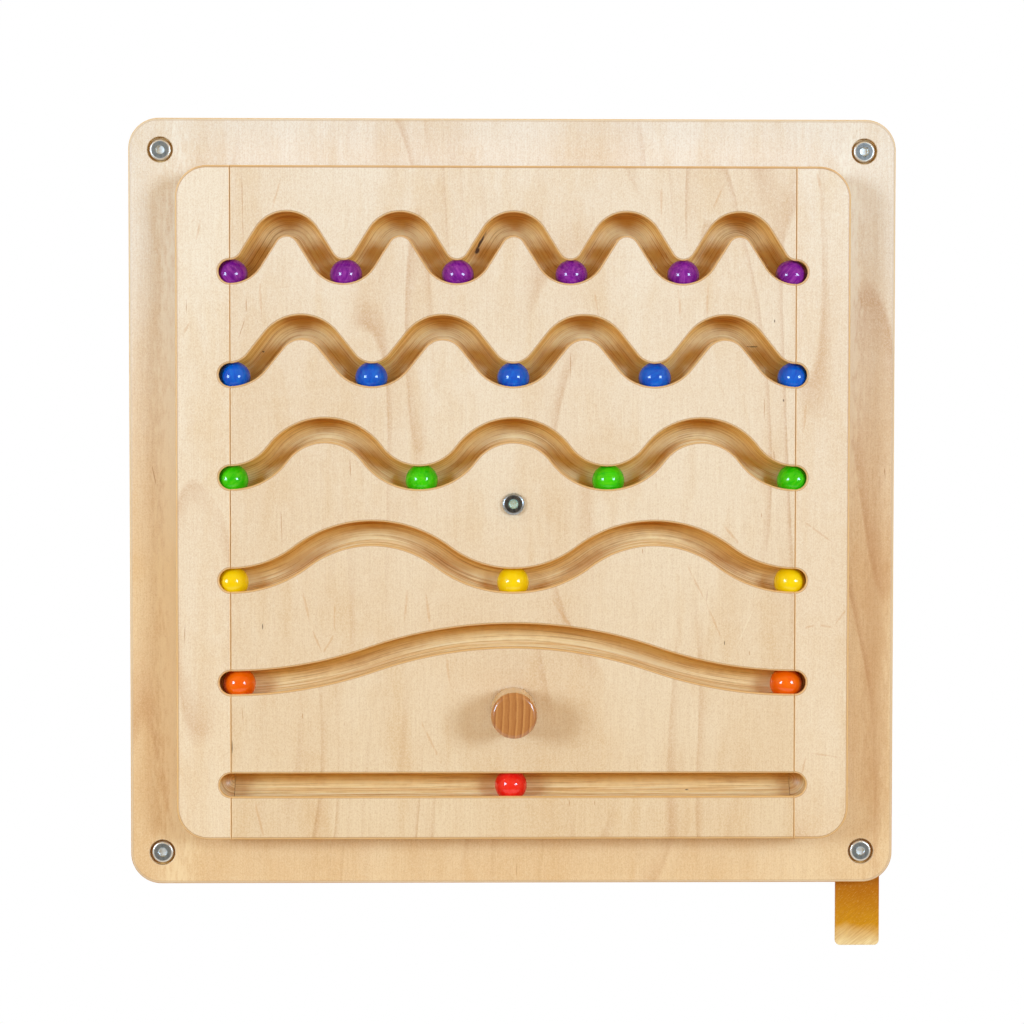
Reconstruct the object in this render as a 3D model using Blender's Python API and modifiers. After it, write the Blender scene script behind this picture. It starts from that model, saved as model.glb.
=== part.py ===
"""Wall activity panel.

A square plywood board is screwed to the wall at its four corners. A second square plate turns in
front of it on a bolt through the middle, moved by a turned wooden knob. The plate is a middle panel
with a narrow strip glued and dowelled to each side. Six ball tracks run across it: five waves with
five to one periods and one straight track. Each track is an undercut round channel behind a
narrower slot, so its balls roll and can't fall out, and it ends in a round pocket in each strip.

Every piece is drawn as seen from the front: local X to the right, local Y up, and local Z out of
the wall towards the viewer. The empty wall_frame turns that into the world, with +Z up, the wall in
the plane Y = 0 and the front of the panel facing -Y.
"""

import math

import bmesh
import bpy
from mathutils import Matrix, Vector

MM = 0.001

# Clearance between pieces that touch or turn on each other.
SEAT = 0.3 * MM
# How far a cutter runs past the face that it opens.
OVERRUN = 2 * MM

# Board on the wall.
BOARD_SIDE = 600 * MM
BOARD_T = 18 * MM
BOARD_CORNER_R = 24 * MM
BOARD_EDGE_R = 3 * MM

# Turning plate: a middle panel between two side strips.
PLATE_STANDOFF = 6 * MM
PLATE_SIDE = 518 * MM
PLATE_T = 30 * MM
PLATE_CORNER_R = 24.5 * MM
PLATE_EDGE_R = 2.4 * MM
STRIP_W = 42 * MM
JOINT_CHAMFER = 0.6 * MM

# Balls, and the undercut channel that holds them.
BALL_D = 25 * MM
BALL_PLAY = 4.6 * MM
SLOT_W = 17.5 * MM
LIP_R = 1.8 * MM
BALL_SEGMENTS = 12
BALL_RINGS = 7
CHANNEL_FACETS = 8
POCKET_STEPS = 12

# Steps round the turned pieces, and along rounded corners and edges.
SMALL_STEPS = 12
BOLT_STEPS = 16
WIDE_STEPS = 20
CORNER_STEPS = 5
EDGE_STEPS = 2

# Tracks from the top down. Each wave starts and ends in a valley on a joint line between panel and
# strip. The bend is the radius of its valleys and crests, joined by straight tangents; no bend means
# the widest one, where the arcs meet without a straight. The shifts say how far right of its valley
# each ball lies, left to right.
TOP_TRACK_Y = 177.8 * MM
TRACK_PITCH = 78.9 * MM
WAVE_H = 36.6 * MM
TRACKS = (
    {"colour": "purple", "periods": 5, "bend": 18.5 * MM, "steps": 4,
     "shifts": {1: 1.3 * MM, 2: 0.5 * MM, 3: 1.5 * MM, 4: 1.1 * MM, 5: -2 * MM}},
    {"colour": "blue", "periods": 4, "bend": 26 * MM, "steps": 4,
     "shifts": {0: 1.8 * MM, 1: -1 * MM, 3: 1 * MM}},
    {"colour": "green", "periods": 3, "bend": None, "steps": 5, "shifts": {1: 1.6 * MM, 2: 1.3 * MM}},
    {"colour": "yellow", "periods": 2, "bend": None, "steps": 4, "shifts": {2: -2 * MM}},
    {"colour": "orange", "periods": 1, "bend": None, "steps": 4,
     "shifts": {0: 5.3 * MM, 1: -4.9 * MM}},
    {"colour": "red", "periods": 0, "bend": None, "steps": 0, "shifts": {0: -1.6 * MM}},
)

# Dowels that hold the strips, each below a track's end pocket.
DOWEL_D = 8 * MM
DOWEL_L = 28 * MM
DOWEL_DROP = 26 * MM
DOWEL_TRACKS = (0, 2, 4)

# Flat head with a rounded rim and a hex socket, the same on the pivot bolt and the wall screws.
HEAD_D = 17 * MM
HEAD_T = 3.5 * MM
HEAD_EDGE_R = 1.6 * MM
SOCKET_AF = 6 * MM
SOCKET_DEPTH = 2.8 * MM

# Pivot through the middle.
BOLT_D = 10 * MM
BUSH_WALL = 2 * MM
GLIDE_D = 90 * MM
NUT_AF = 17 * MM
NUT_T = 6 * MM
NUT_WASHER_D = 21 * MM
NUT_WASHER_T = 2 * MM
NUT_RECESS_D = 26 * MM
NUT_RECESS_DEPTH = 11 * MM
BOLT_END_INSET = 1.6 * MM

# Knob below the middle.
KNOB_Y = -158.4 * MM
KNOB_D = 35 * MM
KNOB_L = 42 * MM
KNOB_FRONT_R = 3.5 * MM
KNOB_FOOT_R = 1 * MM
KNOB_SCREW_D = 5 * MM
KNOB_SCREW_HEAD_D = 10 * MM
KNOB_SCREW_L = 50 * MM
SCREW_DOME = 0.4 * MM
SCREW_TIP = 6 * MM
CROSS_SPAN = 4.8 * MM
CROSS_ARM = 1.2 * MM
CROSS_DEPTH = 1.3 * MM

# Corner fixings: a flat-headed screw in a round recess.
FIXING_INSET = 25 * MM
FIXING_SPAN = BOARD_SIDE - 2 * FIXING_INSET
FIXING_RECESS_D = 20 * MM
FIXING_RECESS_DEPTH = 4.5 * MM
WALL_SCREW_D = 6 * MM
WALL_SCREW_L = 50 * MM

# Bare tab held behind the lower right corner by that corner's screw.
TAB_W = 35 * MM
TAB_T = 3 * MM
TAB_DROP = 53 * MM
TAB_TOP_MARGIN = 17 * MM
TAB_HIDDEN = FIXING_INSET + TAB_TOP_MARGIN
TAB_CORNER_R = 4 * MM
TAB_EDGE_R = 0.6 * MM

PLATE_BACK = BOARD_T + PLATE_STANDOFF
PLATE_FRONT = PLATE_BACK + PLATE_T
TRACK_SPAN = PLATE_SIDE - 2 * STRIP_W
CHANNEL_R = (BALL_D + BALL_PLAY) / 2
CHANNEL_DEPTH = LIP_R + math.sqrt(CHANNEL_R**2 - (SLOT_W / 2) ** 2)
NECK_ANGLE = math.acos(SLOT_W / 2 / CHANNEL_R)
FACET_ANGLE = (math.pi + 2 * NECK_ANGLE) / CHANNEL_FACETS
# The faceted channel wall stands a little inside the true circle; the ball lies SEAT off it, plus
# half as much again for the facets along the bends.
BALL_SAG = CHANNEL_R * math.cos(FACET_ANGLE / 2) - BALL_D / 2 - 1.5 * SEAT


def clear_scene():
    for obj in list(bpy.data.objects):
        bpy.data.objects.remove(obj, do_unlink=True)


def collection(name):
    made = bpy.data.collections.new(name)
    bpy.context.scene.collection.children.link(made)
    return made


def linear(channel):
    return channel / 12.92 if channel <= 0.04045 else ((channel + 0.055) / 1.055) ** 2.4


def material(name, red, green, blue, roughness, metallic=0.0):
    """A Principled material; the colour is given as the eye sees it, 0 to 255 a channel."""
    made = bpy.data.materials.new(name)
    made.use_nodes = True
    shader = made.node_tree.nodes["Principled BSDF"]
    shader.inputs["Base Color"].default_value = (*(linear(c / 255) for c in (red, green, blue)), 1.0)
    shader.inputs["Roughness"].default_value = roughness
    shader.inputs["Metallic"].default_value = metallic
    return made


def empty(name, parent=None, location=(0, 0, 0), rotation=(0, 0, 0)):
    made = bpy.data.objects.new(name, None)
    made.empty_display_size = 20 * MM
    made.parent = parent
    made.location = location
    made.rotation_euler = rotation
    PARTS.objects.link(made)
    return made


def piece(name, mesh, surface, parent, location=(0, 0, 0), rotation=(0, 0, 0)):
    made = bpy.data.objects.new(name, mesh)
    if not mesh.materials:
        mesh.materials.append(surface)
    made.parent = parent
    made.location = location
    made.rotation_euler = rotation
    PARTS.objects.link(made)
    return made


def cutter(name, mesh, parent, location=(0, 0, 0), rotation=(0, 0, 0)):
    made = bpy.data.objects.new(name, mesh)
    made.parent = parent
    made.location = location
    made.rotation_euler = rotation
    made.hide_render = True
    made.display_type = "WIRE"
    CUTTERS.objects.link(made)
    return made


def cut(target, *tools):
    for tool in tools:
        step = target.modifiers.new(tool.name, "BOOLEAN")
        step.operation = "DIFFERENCE"
        step.solver = "EXACT"
        step.object = tool


def mesh_from(bm, name):
    mesh = bpy.data.meshes.new(name)
    bm.to_mesh(mesh)
    bm.free()
    return mesh


def box_mesh(name, width, height, thickness):
    """A box centred in X and Y, from Z = 0 up."""
    bm = bmesh.new()
    place = Matrix.Translation((0, 0, thickness / 2)) @ Matrix.Diagonal((width, height, thickness, 1))
    bmesh.ops.create_cube(bm, size=1, matrix=place)
    return mesh_from(bm, name)


def board_mesh(name, width, height, thickness, corner_r, corner_steps, round_r, chamfers, rounded):
    """A board from Z = 0 up with rounded corners where rounded(x, y) says so.

    The edges round both faces get the full rounding of the Bevel modifier. Those on a joint line,
    which chamfers(x) picks, get only the small chamfer.
    """
    bm = bmesh.new()
    place = Matrix.Translation((0, 0, thickness / 2)) @ Matrix.Diagonal((width, height, thickness, 1))
    bmesh.ops.create_cube(bm, size=1, matrix=place)
    upright = [
        edge
        for edge in bm.edges
        if abs(edge.verts[0].co.z - edge.verts[1].co.z) > thickness / 2
        and rounded(edge.verts[0].co.x, edge.verts[0].co.y)
    ]
    if upright:
        bmesh.ops.bevel(
            bm, geom=upright, offset=corner_r, segments=corner_steps, profile=0.5, affect="EDGES"
        )
    weight = bm.edges.layers.float.new("bevel_weight_edge")
    for edge in bm.edges:
        a, b = (vert.co for vert in edge.verts)
        if chamfers(a.x) and chamfers(b.x):
            edge[weight] = JOINT_CHAMFER / round_r
        elif abs(a.z - b.z) < thickness / 2:
            edge[weight] = 1.0
    return mesh_from(bm, name)


def round_edges(target, width, segments):
    step = target.modifiers.new("rounded_edges", "BEVEL")
    step.limit_method = "WEIGHT"
    step.width = width
    step.segments = segments


def turned(name, profile, steps, closed=False):
    """A profile in the XZ plane, top to bottom down its outer side, ready for its Screw modifier."""
    bm = bmesh.new()
    verts = [bm.verts.new((radius, 0, height)) for radius, height in profile]
    for first, second in zip(verts, verts[1:]):
        bm.edges.new((first, second))
    if closed:
        bm.edges.new((verts[-1], verts[0]))
    mesh = mesh_from(bm, name)
    mesh["steps"] = steps
    return mesh


def revolve(target):
    steps = target.data["steps"]
    turn = target.modifiers.new("turn", "SCREW")
    turn.axis = "Z"
    turn.angle = math.tau
    turn.steps = steps
    turn.render_steps = steps
    turn.use_merge_vertices = True
    turn.merge_threshold = 0.01 * MM
    turn.use_smooth_shade = True
    return target


def arc(centre, radius, start, end, steps):
    """Points on an arc in a profile, both ends included; angles from the radial direction."""
    for i in range(steps + 1):
        angle = start + (end - start) * i / steps
        yield (centre[0] + radius * math.cos(angle), centre[1] + radius * math.sin(angle))


def channel_side():
    """Half of the channel's section: from above the slot's edge down to the floor of the channel.

    The first value is the distance from the track's middle line, the second is the height over the
    plate's front face.
    """
    neck = SLOT_W / 2
    yield (neck + LIP_R, OVERRUN)
    yield (neck + LIP_R, 0)
    yield (neck, -LIP_R)
    for i in range(1, CHANNEL_FACETS // 2 + 1):
        angle = NECK_ANGLE - i * FACET_ANGLE
        yield (CHANNEL_R * math.cos(angle), -CHANNEL_DEPTH + CHANNEL_R * math.sin(angle))


def wave_geometry(track):
    """Half a period's length, the bend radius, the arc's angle and the tangent between two bends."""
    half = TRACK_SPAN / (2 * track["periods"])
    widest = (half**2 + WAVE_H**2) / (4 * WAVE_H)
    bend = widest if track["bend"] is None else min(track["bend"], widest)
    reach = math.hypot(half, WAVE_H - 2 * bend)
    turn = math.atan2(WAVE_H - 2 * bend, half) + math.asin(min(1.0, 2 * bend / reach))
    straight = math.sqrt(max(0.0, reach**2 - 4 * bend**2))
    return half, bend, turn, straight


class Sweep:
    """A cutter that carries the channel's section along arcs and straights in the plate's plane."""

    def __init__(self, at_x, at_y):
        side = list(channel_side())
        ring = side + [(-across, height) for across, height in reversed(side[:-1])]
        self.bm = bmesh.new()
        verts = [self.bm.verts.new((at_x, at_y + across, height)) for across, height in ring]
        edges = [self.bm.edges.new((a, b)) for a, b in zip(verts, verts[1:] + verts[:1])]
        self.first = edges
        self.last = edges
        self.heading = 0.0

    def straight(self, length):
        grown = bmesh.ops.extrude_edge_only(self.bm, edges=self.last)["geom"]
        step = Vector((math.cos(self.heading), math.sin(self.heading), 0)) * length
        bmesh.ops.translate(
            self.bm, verts=[g for g in grown if isinstance(g, bmesh.types.BMVert)], vec=step
        )
        self.last = [g for g in grown if isinstance(g, bmesh.types.BMEdge)]

    def bend(self, centre_x, centre_y, turn, steps):
        verts = list({vert for edge in self.last for vert in edge.verts})
        spun = bmesh.ops.spin(
            self.bm, geom=verts + self.last, cent=(centre_x, centre_y, 0), axis=(0, 0, 1),
            angle=turn, steps=steps, use_duplicate=False,
        )
        self.last = [g for g in spun["geom_last"] if isinstance(g, bmesh.types.BMEdge)]
        self.heading += turn

    def close(self, name):
        bmesh.ops.contextual_create(self.bm, geom=self.first)
        bmesh.ops.contextual_create(self.bm, geom=self.last)
        bmesh.ops.recalc_face_normals(self.bm, faces=self.bm.faces)
        return mesh_from(self.bm, name)


def track_cutter(track, low_y):
    """The whole track from joint line to joint line, run past the panel's edges at both ends."""
    left = -TRACK_SPAN / 2
    sweep = Sweep(left - OVERRUN, low_y)
    sweep.straight(OVERRUN)
    if track["periods"] == 0:
        sweep.straight(TRACK_SPAN)
    else:
        half, bend, turn, straight = wave_geometry(track)
        for period in range(track["periods"]):
            valley = left + 2 * period * half
            crest = valley + half
            sweep.bend(valley, low_y + bend, turn, track["steps"])
            if straight > MM:
                sweep.straight(straight)
            sweep.bend(crest, low_y + WAVE_H - bend, -2 * turn, 2 * track["steps"])
            if straight > MM:
                sweep.straight(straight)
            sweep.bend(valley + 2 * half, low_y + bend, turn, track["steps"])
    sweep.straight(OVERRUN)
    return sweep.close(track["colour"] + "_track_cutter")


def pocket_mesh(name):
    side = list(channel_side())
    return turned(name, [(0, side[0][1]), *side[:-1], (0, side[-1][1])], POCKET_STEPS)


def pin_profile(radius, top, bottom):
    return [(0, top), (radius, top), (radius, bottom), (0, bottom)]


def ring_profile(outer, inner, top, bottom):
    return [(outer, top), (outer, bottom), (inner, bottom), (inner, top)]


def countersunk_screw(name, shank_d, head_d, length, tip):
    """A screw whose head's rim lies at Z = 0 and whose tip points down."""
    head_r, shank_r = head_d / 2, shank_d / 2
    cone = head_r - shank_r
    return turned(
        name,
        [
            (0, SCREW_DOME),
            (head_r / 2, SCREW_DOME * 0.7),
            (head_r, 0),
            (shank_r, -cone),
            (shank_r, -length + tip),
            (0, -length),
        ],
        SMALL_STEPS,
    )


def flat_head(*shank):
    """Profile of a flat head whose underside lies at Z = 0, followed by the shank's points."""
    head_r = HEAD_D / 2
    rim = arc((head_r - HEAD_EDGE_R, HEAD_T - HEAD_EDGE_R), HEAD_EDGE_R, math.pi / 2, 0, 3)
    return [(0, HEAD_T), *rim, (head_r, 0), *shank]


def cut_socket(target, seat, angle):
    """Cuts the hex socket into a flat head that sits at seat, turned by angle."""
    corner_r = SOCKET_AF / 2 / math.cos(math.pi / 6)
    socket = turned("hex_socket", pin_profile(corner_r, OVERRUN, -SOCKET_DEPTH), 6)
    front = (seat[0], seat[1], seat[2] + HEAD_T)
    cut(target, revolve(cutter(target.name + "_socket", socket, WALL, front, (0, 0, angle))))


def cross_mesh(name, depth):
    """A plus-shaped punch that reaches down to -depth, for the recess in a screw's head."""
    outline = bpy.data.curves.new(name, "CURVE")
    outline.dimensions = "2D"
    outline.fill_mode = "BOTH"
    outline.extrude = depth / 2 + OVERRUN / 2
    line = outline.splines.new("POLY")
    quarter = [
        Vector((CROSS_ARM / 2, CROSS_ARM / 2)),
        Vector((CROSS_ARM / 2, CROSS_SPAN / 2)),
        Vector((-CROSS_ARM / 2, CROSS_SPAN / 2)),
    ]
    points = []
    for corner in range(4):
        turn = Matrix.Rotation(corner * math.pi / 2, 2)
        points += [turn @ point for point in quarter]
    line.points.add(len(points) - 1)
    for point, spot in zip(line.points, points):
        point.co = (spot.x, spot.y, 0, 1)
    line.use_cyclic_u = True
    carrier = bpy.data.objects.new(name, outline)
    CUTTERS.objects.link(carrier)
    bpy.context.view_layer.update()
    mesh = bpy.data.meshes.new_from_object(carrier.evaluated_get(bpy.context.evaluated_depsgraph_get()))
    bpy.data.objects.remove(carrier)
    bm = bmesh.new()
    bm.from_mesh(mesh)
    bmesh.ops.remove_doubles(bm, verts=bm.verts, dist=0.001 * MM)
    bmesh.ops.translate(bm, verts=bm.verts, vec=(0, 0, (OVERRUN - depth) / 2))
    bmesh.ops.recalc_face_normals(bm, faces=bm.faces)
    bm.to_mesh(mesh)
    bm.free()
    mesh.materials.clear()
    return mesh


def build_board():
    """The board on the wall with its fixings, pivot hardware and tab."""
    half = BOARD_SIDE / 2
    board = piece(
        "base_panel",
        board_mesh(
            "base_panel", BOARD_SIDE, BOARD_SIDE, BOARD_T, BOARD_CORNER_R, CORNER_STEPS,
            BOARD_EDGE_R, lambda x: False, lambda x, y: True,
        ),
        BIRCH_BOARD,
        WALL,
    )
    round_edges(board, BOARD_EDGE_R, EDGE_STEPS)

    fixing = turned(
        "fixing_bore",
        [
            (0, OVERRUN),
            (FIXING_RECESS_D / 2, OVERRUN),
            (FIXING_RECESS_D / 2, -FIXING_RECESS_DEPTH),
            (WALL_SCREW_D / 2 + SEAT, -FIXING_RECESS_DEPTH),
            (WALL_SCREW_D / 2 + SEAT, -BOARD_T - OVERRUN),
            (0, -BOARD_T - OVERRUN),
        ],
        SMALL_STEPS,
    )
    screw = turned(
        "wall_screw",
        flat_head(
            (WALL_SCREW_D / 2, 0),
            (WALL_SCREW_D / 2, SCREW_TIP - WALL_SCREW_L),
            (0, -WALL_SCREW_L),
        ),
        BOLT_STEPS,
    )
    for row, side_y in (("top", 1), ("bottom", -1)):
        for side, side_x in (("left", -1), ("right", 1)):
            spot = (side_x * FIXING_SPAN / 2, side_y * FIXING_SPAN / 2)
            seat = (*spot, BOARD_T - FIXING_RECESS_DEPTH + SEAT)
            bore = cutter(f"fixing_bore_{row}_{side}", fixing, WALL, (*spot, BOARD_T))
            cut(board, revolve(bore))
            driven = revolve(piece(f"wall_screw_{row}_{side}", screw, STEEL_SCREW, WALL, seat))
            cut_socket(driven, seat, math.radians(20 + 25 * (side_x + 2 * side_y)))

    bolt_way = turned(
        "bolt_way",
        [
            (0, BOARD_T + OVERRUN),
            (BOLT_D / 2 + SEAT, BOARD_T + OVERRUN),
            (BOLT_D / 2 + SEAT, NUT_RECESS_DEPTH),
            (NUT_RECESS_D / 2, NUT_RECESS_DEPTH),
            (NUT_RECESS_D / 2, -OVERRUN),
            (0, -OVERRUN),
        ],
        BOLT_STEPS,
    )
    cut(board, revolve(cutter("bolt_way", bolt_way, WALL)))

    tab_top = -half + TAB_HIDDEN
    tab_bottom = -half - TAB_DROP
    tab_x = FIXING_SPAN / 2
    rebate = cutter(
        "tab_rebate",
        box_mesh(
            "tab_rebate", TAB_W + 2 * SEAT, TAB_HIDDEN + SEAT + OVERRUN, TAB_T + 2 * SEAT + OVERRUN
        ),
        WALL,
        (tab_x, (tab_top + SEAT - half - OVERRUN) / 2, -OVERRUN),
    )
    cut(board, rebate)
    tab = piece(
        "label_tab",
        board_mesh(
            "label_tab", TAB_W, tab_top - tab_bottom, TAB_T, TAB_CORNER_R, 4, TAB_EDGE_R,
            lambda x: False, lambda x, y: y < 0,
        ),
        TAB_YELLOW,
        WALL,
        (tab_x, (tab_top + tab_bottom) / 2, SEAT),
    )
    round_edges(tab, TAB_EDGE_R, 1)
    hole = turned(
        "tab_hole", pin_profile(WALL_SCREW_D / 2 + SEAT, TAB_T + OVERRUN, -OVERRUN), SMALL_STEPS
    )
    cut(tab, revolve(cutter("tab_hole", hole, WALL, (tab_x, -FIXING_SPAN / 2, SEAT))))


def build_pivot():
    """The bolt, its nut and washer behind the board, and the disc the plate glides on."""
    seat = (0, 0, PLATE_FRONT + SEAT)
    end = BOLT_END_INSET - PLATE_FRONT - SEAT
    shank = flat_head((BOLT_D / 2, 0), (BOLT_D / 2, end), (0, end))
    bolt = revolve(
        piece("pivot_bolt", turned("pivot_bolt", shank, BOLT_STEPS), STEEL_BOLT, WALL, seat)
    )
    cut_socket(bolt, seat, math.radians(15))

    shank_way = BOLT_D / 2 + SEAT
    washer_back = NUT_RECESS_DEPTH - SEAT - NUT_WASHER_T
    washer = ring_profile(NUT_WASHER_D / 2, shank_way, NUT_WASHER_T, 0)
    revolve(
        piece(
            "pivot_washer", turned("pivot_washer", washer, BOLT_STEPS, closed=True), STEEL_BOLT, WALL,
            (0, 0, washer_back),
        )
    )
    nut_outer = NUT_AF / 2 / math.cos(math.pi / 6)
    nut = piece(
        "pivot_nut",
        turned("pivot_nut", pin_profile(nut_outer, NUT_T, 0), 6),
        STEEL_BOLT,
        WALL,
        (0, 0, washer_back - SEAT - NUT_T),
    )
    thread = turned("nut_bore", pin_profile(shank_way, NUT_T + OVERRUN, -OVERRUN), BOLT_STEPS)
    cut(
        revolve(nut),
        revolve(cutter("nut_bore", thread, WALL, (0, 0, washer_back - SEAT - NUT_T))),
    )

    disc = ring_profile(GLIDE_D / 2, shank_way, PLATE_STANDOFF - 2 * SEAT, 0)
    revolve(
        piece(
            "glide_disc", turned("glide_disc", disc, WIDE_STEPS, closed=True), NYLON, WALL,
            (0, 0, BOARD_T + SEAT),
        )
    )


def build_plate():
    """The turning plate: middle panel, two strips, dowels, bush and knob."""
    joint_x = TRACK_SPAN / 2
    panel_w = TRACK_SPAN - SEAT
    panel = piece(
        "track_panel",
        board_mesh(
            "track_panel", panel_w, PLATE_SIDE, PLATE_T, 0, 0, PLATE_EDGE_R,
            lambda x: abs(x) > panel_w / 2 - SEAT, lambda x, y: False,
        ),
        BIRCH_PANEL,
        TURNING,
        (0, 0, PLATE_BACK),
    )
    round_edges(panel, PLATE_EDGE_R, EDGE_STEPS)
    for i, track in enumerate(TRACKS):
        low_y = TOP_TRACK_Y - i * TRACK_PITCH
        mesh = track_cutter(track, low_y)
        cut(panel, cutter(mesh.name, mesh, TURNING, (0, 0, PLATE_FRONT)))

    strip_w = STRIP_W - SEAT / 2
    pocket = pocket_mesh("end_pocket")
    dowel = turned("strip_dowel", pin_profile(DOWEL_D / 2, DOWEL_L / 2, -DOWEL_L / 2), SMALL_STEPS)
    dowel_hole = turned(
        "dowel_hole",
        pin_profile(DOWEL_D / 2 + SEAT, DOWEL_L / 2 + SEAT, -DOWEL_L / 2 - SEAT),
        SMALL_STEPS,
    )
    for side, sign in (("left", -1), ("right", 1)):
        strip = piece(
            side + "_strip",
            board_mesh(
                side + "_strip", strip_w, PLATE_SIDE, PLATE_T, PLATE_CORNER_R, CORNER_STEPS,
                PLATE_EDGE_R,
                lambda x, sign=sign: -sign * x > strip_w / 2 - SEAT,
                lambda x, y, sign=sign: sign * x > 0,
            ),
            BIRCH_STRIP,
            TURNING,
            (sign * (PLATE_SIDE - strip_w) / 2, 0, PLATE_BACK),
        )
        round_edges(strip, PLATE_EDGE_R, EDGE_STEPS)
        for i, track in enumerate(TRACKS):
            low_y = TOP_TRACK_Y - i * TRACK_PITCH
            where = (sign * joint_x, low_y, PLATE_FRONT)
            cut(strip, revolve(cutter(f"{track['colour']}_pocket_{side}", pocket, TURNING, where)))
        for count, i in enumerate(DOWEL_TRACKS, 1):
            where = (
                sign * joint_x,
                TOP_TRACK_Y - i * TRACK_PITCH - DOWEL_DROP,
                PLATE_BACK + PLATE_T / 2,
            )
            lying = (0, math.pi / 2, 0)
            hole = revolve(cutter(f"dowel_hole_{side}_{count}", dowel_hole, TURNING, where, lying))
            cut(strip, hole)
            cut(panel, hole)
            revolve(piece(f"strip_dowel_{side}_{count}", dowel, BEECH_DOWEL, TURNING, where, lying))

    bush_r = BOLT_D / 2 + SEAT + BUSH_WALL
    bush = ring_profile(bush_r, BOLT_D / 2 + SEAT, PLATE_T, 0)
    revolve(
        piece(
            "pivot_bush", turned("pivot_bush", bush, SMALL_STEPS, closed=True), BRASS, TURNING,
            (0, 0, PLATE_BACK),
        )
    )
    bore = turned("bush_bore", pin_profile(bush_r + SEAT, PLATE_T + OVERRUN, -OVERRUN), SMALL_STEPS)
    cut(panel, revolve(cutter("bush_bore", bore, TURNING, (0, 0, PLATE_BACK))))
    build_knob(panel)


def build_knob(panel):
    """The knob, and the screw that holds it from the plate's back."""
    knob_r = KNOB_D / 2
    pilot_r = KNOB_SCREW_D / 2 + SEAT
    screw_head_r = KNOB_SCREW_HEAD_D / 2
    reach = KNOB_SCREW_L - PLATE_T
    front = arc(
        (knob_r - KNOB_FRONT_R, KNOB_L - KNOB_FRONT_R), KNOB_FRONT_R, math.pi / 2, 0, 4
    )
    profile = [
        (0, KNOB_L),
        *front,
        (knob_r, KNOB_FOOT_R),
        (knob_r - KNOB_FOOT_R, 0),
        (pilot_r, 0),
        (pilot_r, reach),
        (0, reach),
    ]
    revolve(
        piece(
            "knob", turned("knob", profile, WIDE_STEPS), KNOB_WOOD, TURNING,
            (0, KNOB_Y, PLATE_FRONT + SEAT),
        )
    )
    # The screw's head is flush with the plate's back and its tip points out of the wall.
    head_z = PLATE_BACK + SEAT
    facing = (math.pi, 0, 0)
    driven = revolve(
        piece(
            "knob_screw",
            countersunk_screw(
                "knob_screw", KNOB_SCREW_D, KNOB_SCREW_HEAD_D, KNOB_SCREW_L - 2 * SEAT, SCREW_TIP
            ),
            STEEL_SCREW,
            TURNING,
            (0, KNOB_Y, head_z + SCREW_DOME),
            facing,
        )
    )
    punch = cross_mesh("knob_cross_punch", CROSS_DEPTH)
    cut(driven, cutter("knob_cross_punch", punch, TURNING, (0, KNOB_Y, head_z), facing))
    sink_r = screw_head_r + SEAT * math.sqrt(2)
    way = turned(
        "knob_screw_way",
        [
            (0, OVERRUN),
            (sink_r, OVERRUN),
            (sink_r, -SEAT - SCREW_DOME),
            (pilot_r, -SEAT - SCREW_DOME - (sink_r - pilot_r)),
            (pilot_r, -PLATE_T - OVERRUN),
            (0, -PLATE_T - OVERRUN),
        ],
        SMALL_STEPS,
    )
    cut(panel, revolve(cutter("knob_screw_way", way, TURNING, (0, KNOB_Y, PLATE_BACK), facing)))


def build_balls():
    """Each ball hangs on an empty at the middle of the bend that it rolls in, its joint's axis."""
    depth = PLATE_FRONT - CHANNEL_DEPTH
    for i, track in enumerate(TRACKS):
        colour = track["colour"]
        low_y = TOP_TRACK_Y - i * TRACK_PITCH
        bm = bmesh.new()
        bmesh.ops.create_uvsphere(
            bm, u_segments=BALL_SEGMENTS, v_segments=BALL_RINGS, radius=BALL_D / 2
        )
        mesh = mesh_from(bm, colour + "_ball")
        mesh.shade_smooth()
        for count in range(track["periods"] + 1):
            name = f"{colour}_ball_{count + 1}"
            shift = track["shifts"].get(count, 0)
            if track["periods"] == 0:
                where = (shift, low_y - BALL_SAG, depth)
                piece(name, mesh, BALL_PAINT[colour], TURNING, where)
                continue
            half, bend, _, _ = wave_geometry(track)
            centre = (-TRACK_SPAN / 2 + 2 * half * count, low_y + bend, depth)
            hub = empty(name + "_axis", TURNING, centre)
            radius = bend + BALL_SAG
            drop = math.sqrt(radius**2 - shift**2)
            piece(name, mesh, BALL_PAINT[colour], hub, (shift, -drop, 0))


clear_scene()
PARTS = collection("wall_activity_panel")
CUTTERS = collection("cutters")

BIRCH_BOARD = material("birch_board", 229, 204, 165, 0.55)
BIRCH_PANEL = material("birch_panel", 235, 214, 180, 0.5)
BIRCH_STRIP = material("birch_strip", 232, 210, 176, 0.5)
BEECH_DOWEL = material("beech_dowel", 205, 165, 120, 0.7)
KNOB_WOOD = material("knob_wood", 150, 84, 40, 0.35)
TAB_YELLOW = material("tab_yellow", 222, 158, 38, 0.5)
STEEL_SCREW = material("steel_screw", 186, 190, 194, 0.3, 1.0)
STEEL_BOLT = material("steel_bolt", 170, 174, 178, 0.28, 1.0)
BRASS = material("brass_bush", 190, 150, 80, 0.35, 1.0)
NYLON = material("nylon_disc", 236, 234, 226, 0.45)
BALL_PAINT = {
    "purple": material("purple_lacquer", 122, 38, 140, 0.2),
    "blue": material("blue_lacquer", 30, 84, 160, 0.2),
    "green": material("green_lacquer", 40, 128, 60, 0.2),
    "yellow": material("yellow_lacquer", 240, 190, 20, 0.2),
    "orange": material("orange_lacquer", 226, 96, 20, 0.2),
    "red": material("red_lacquer", 190, 24, 30, 0.2),
}

WALL = empty("wall_frame", rotation=(math.pi / 2, 0, 0))
TURNING = empty("turning_axis", WALL)

build_board()
build_pivot()
build_plate()
build_balls()
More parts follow.
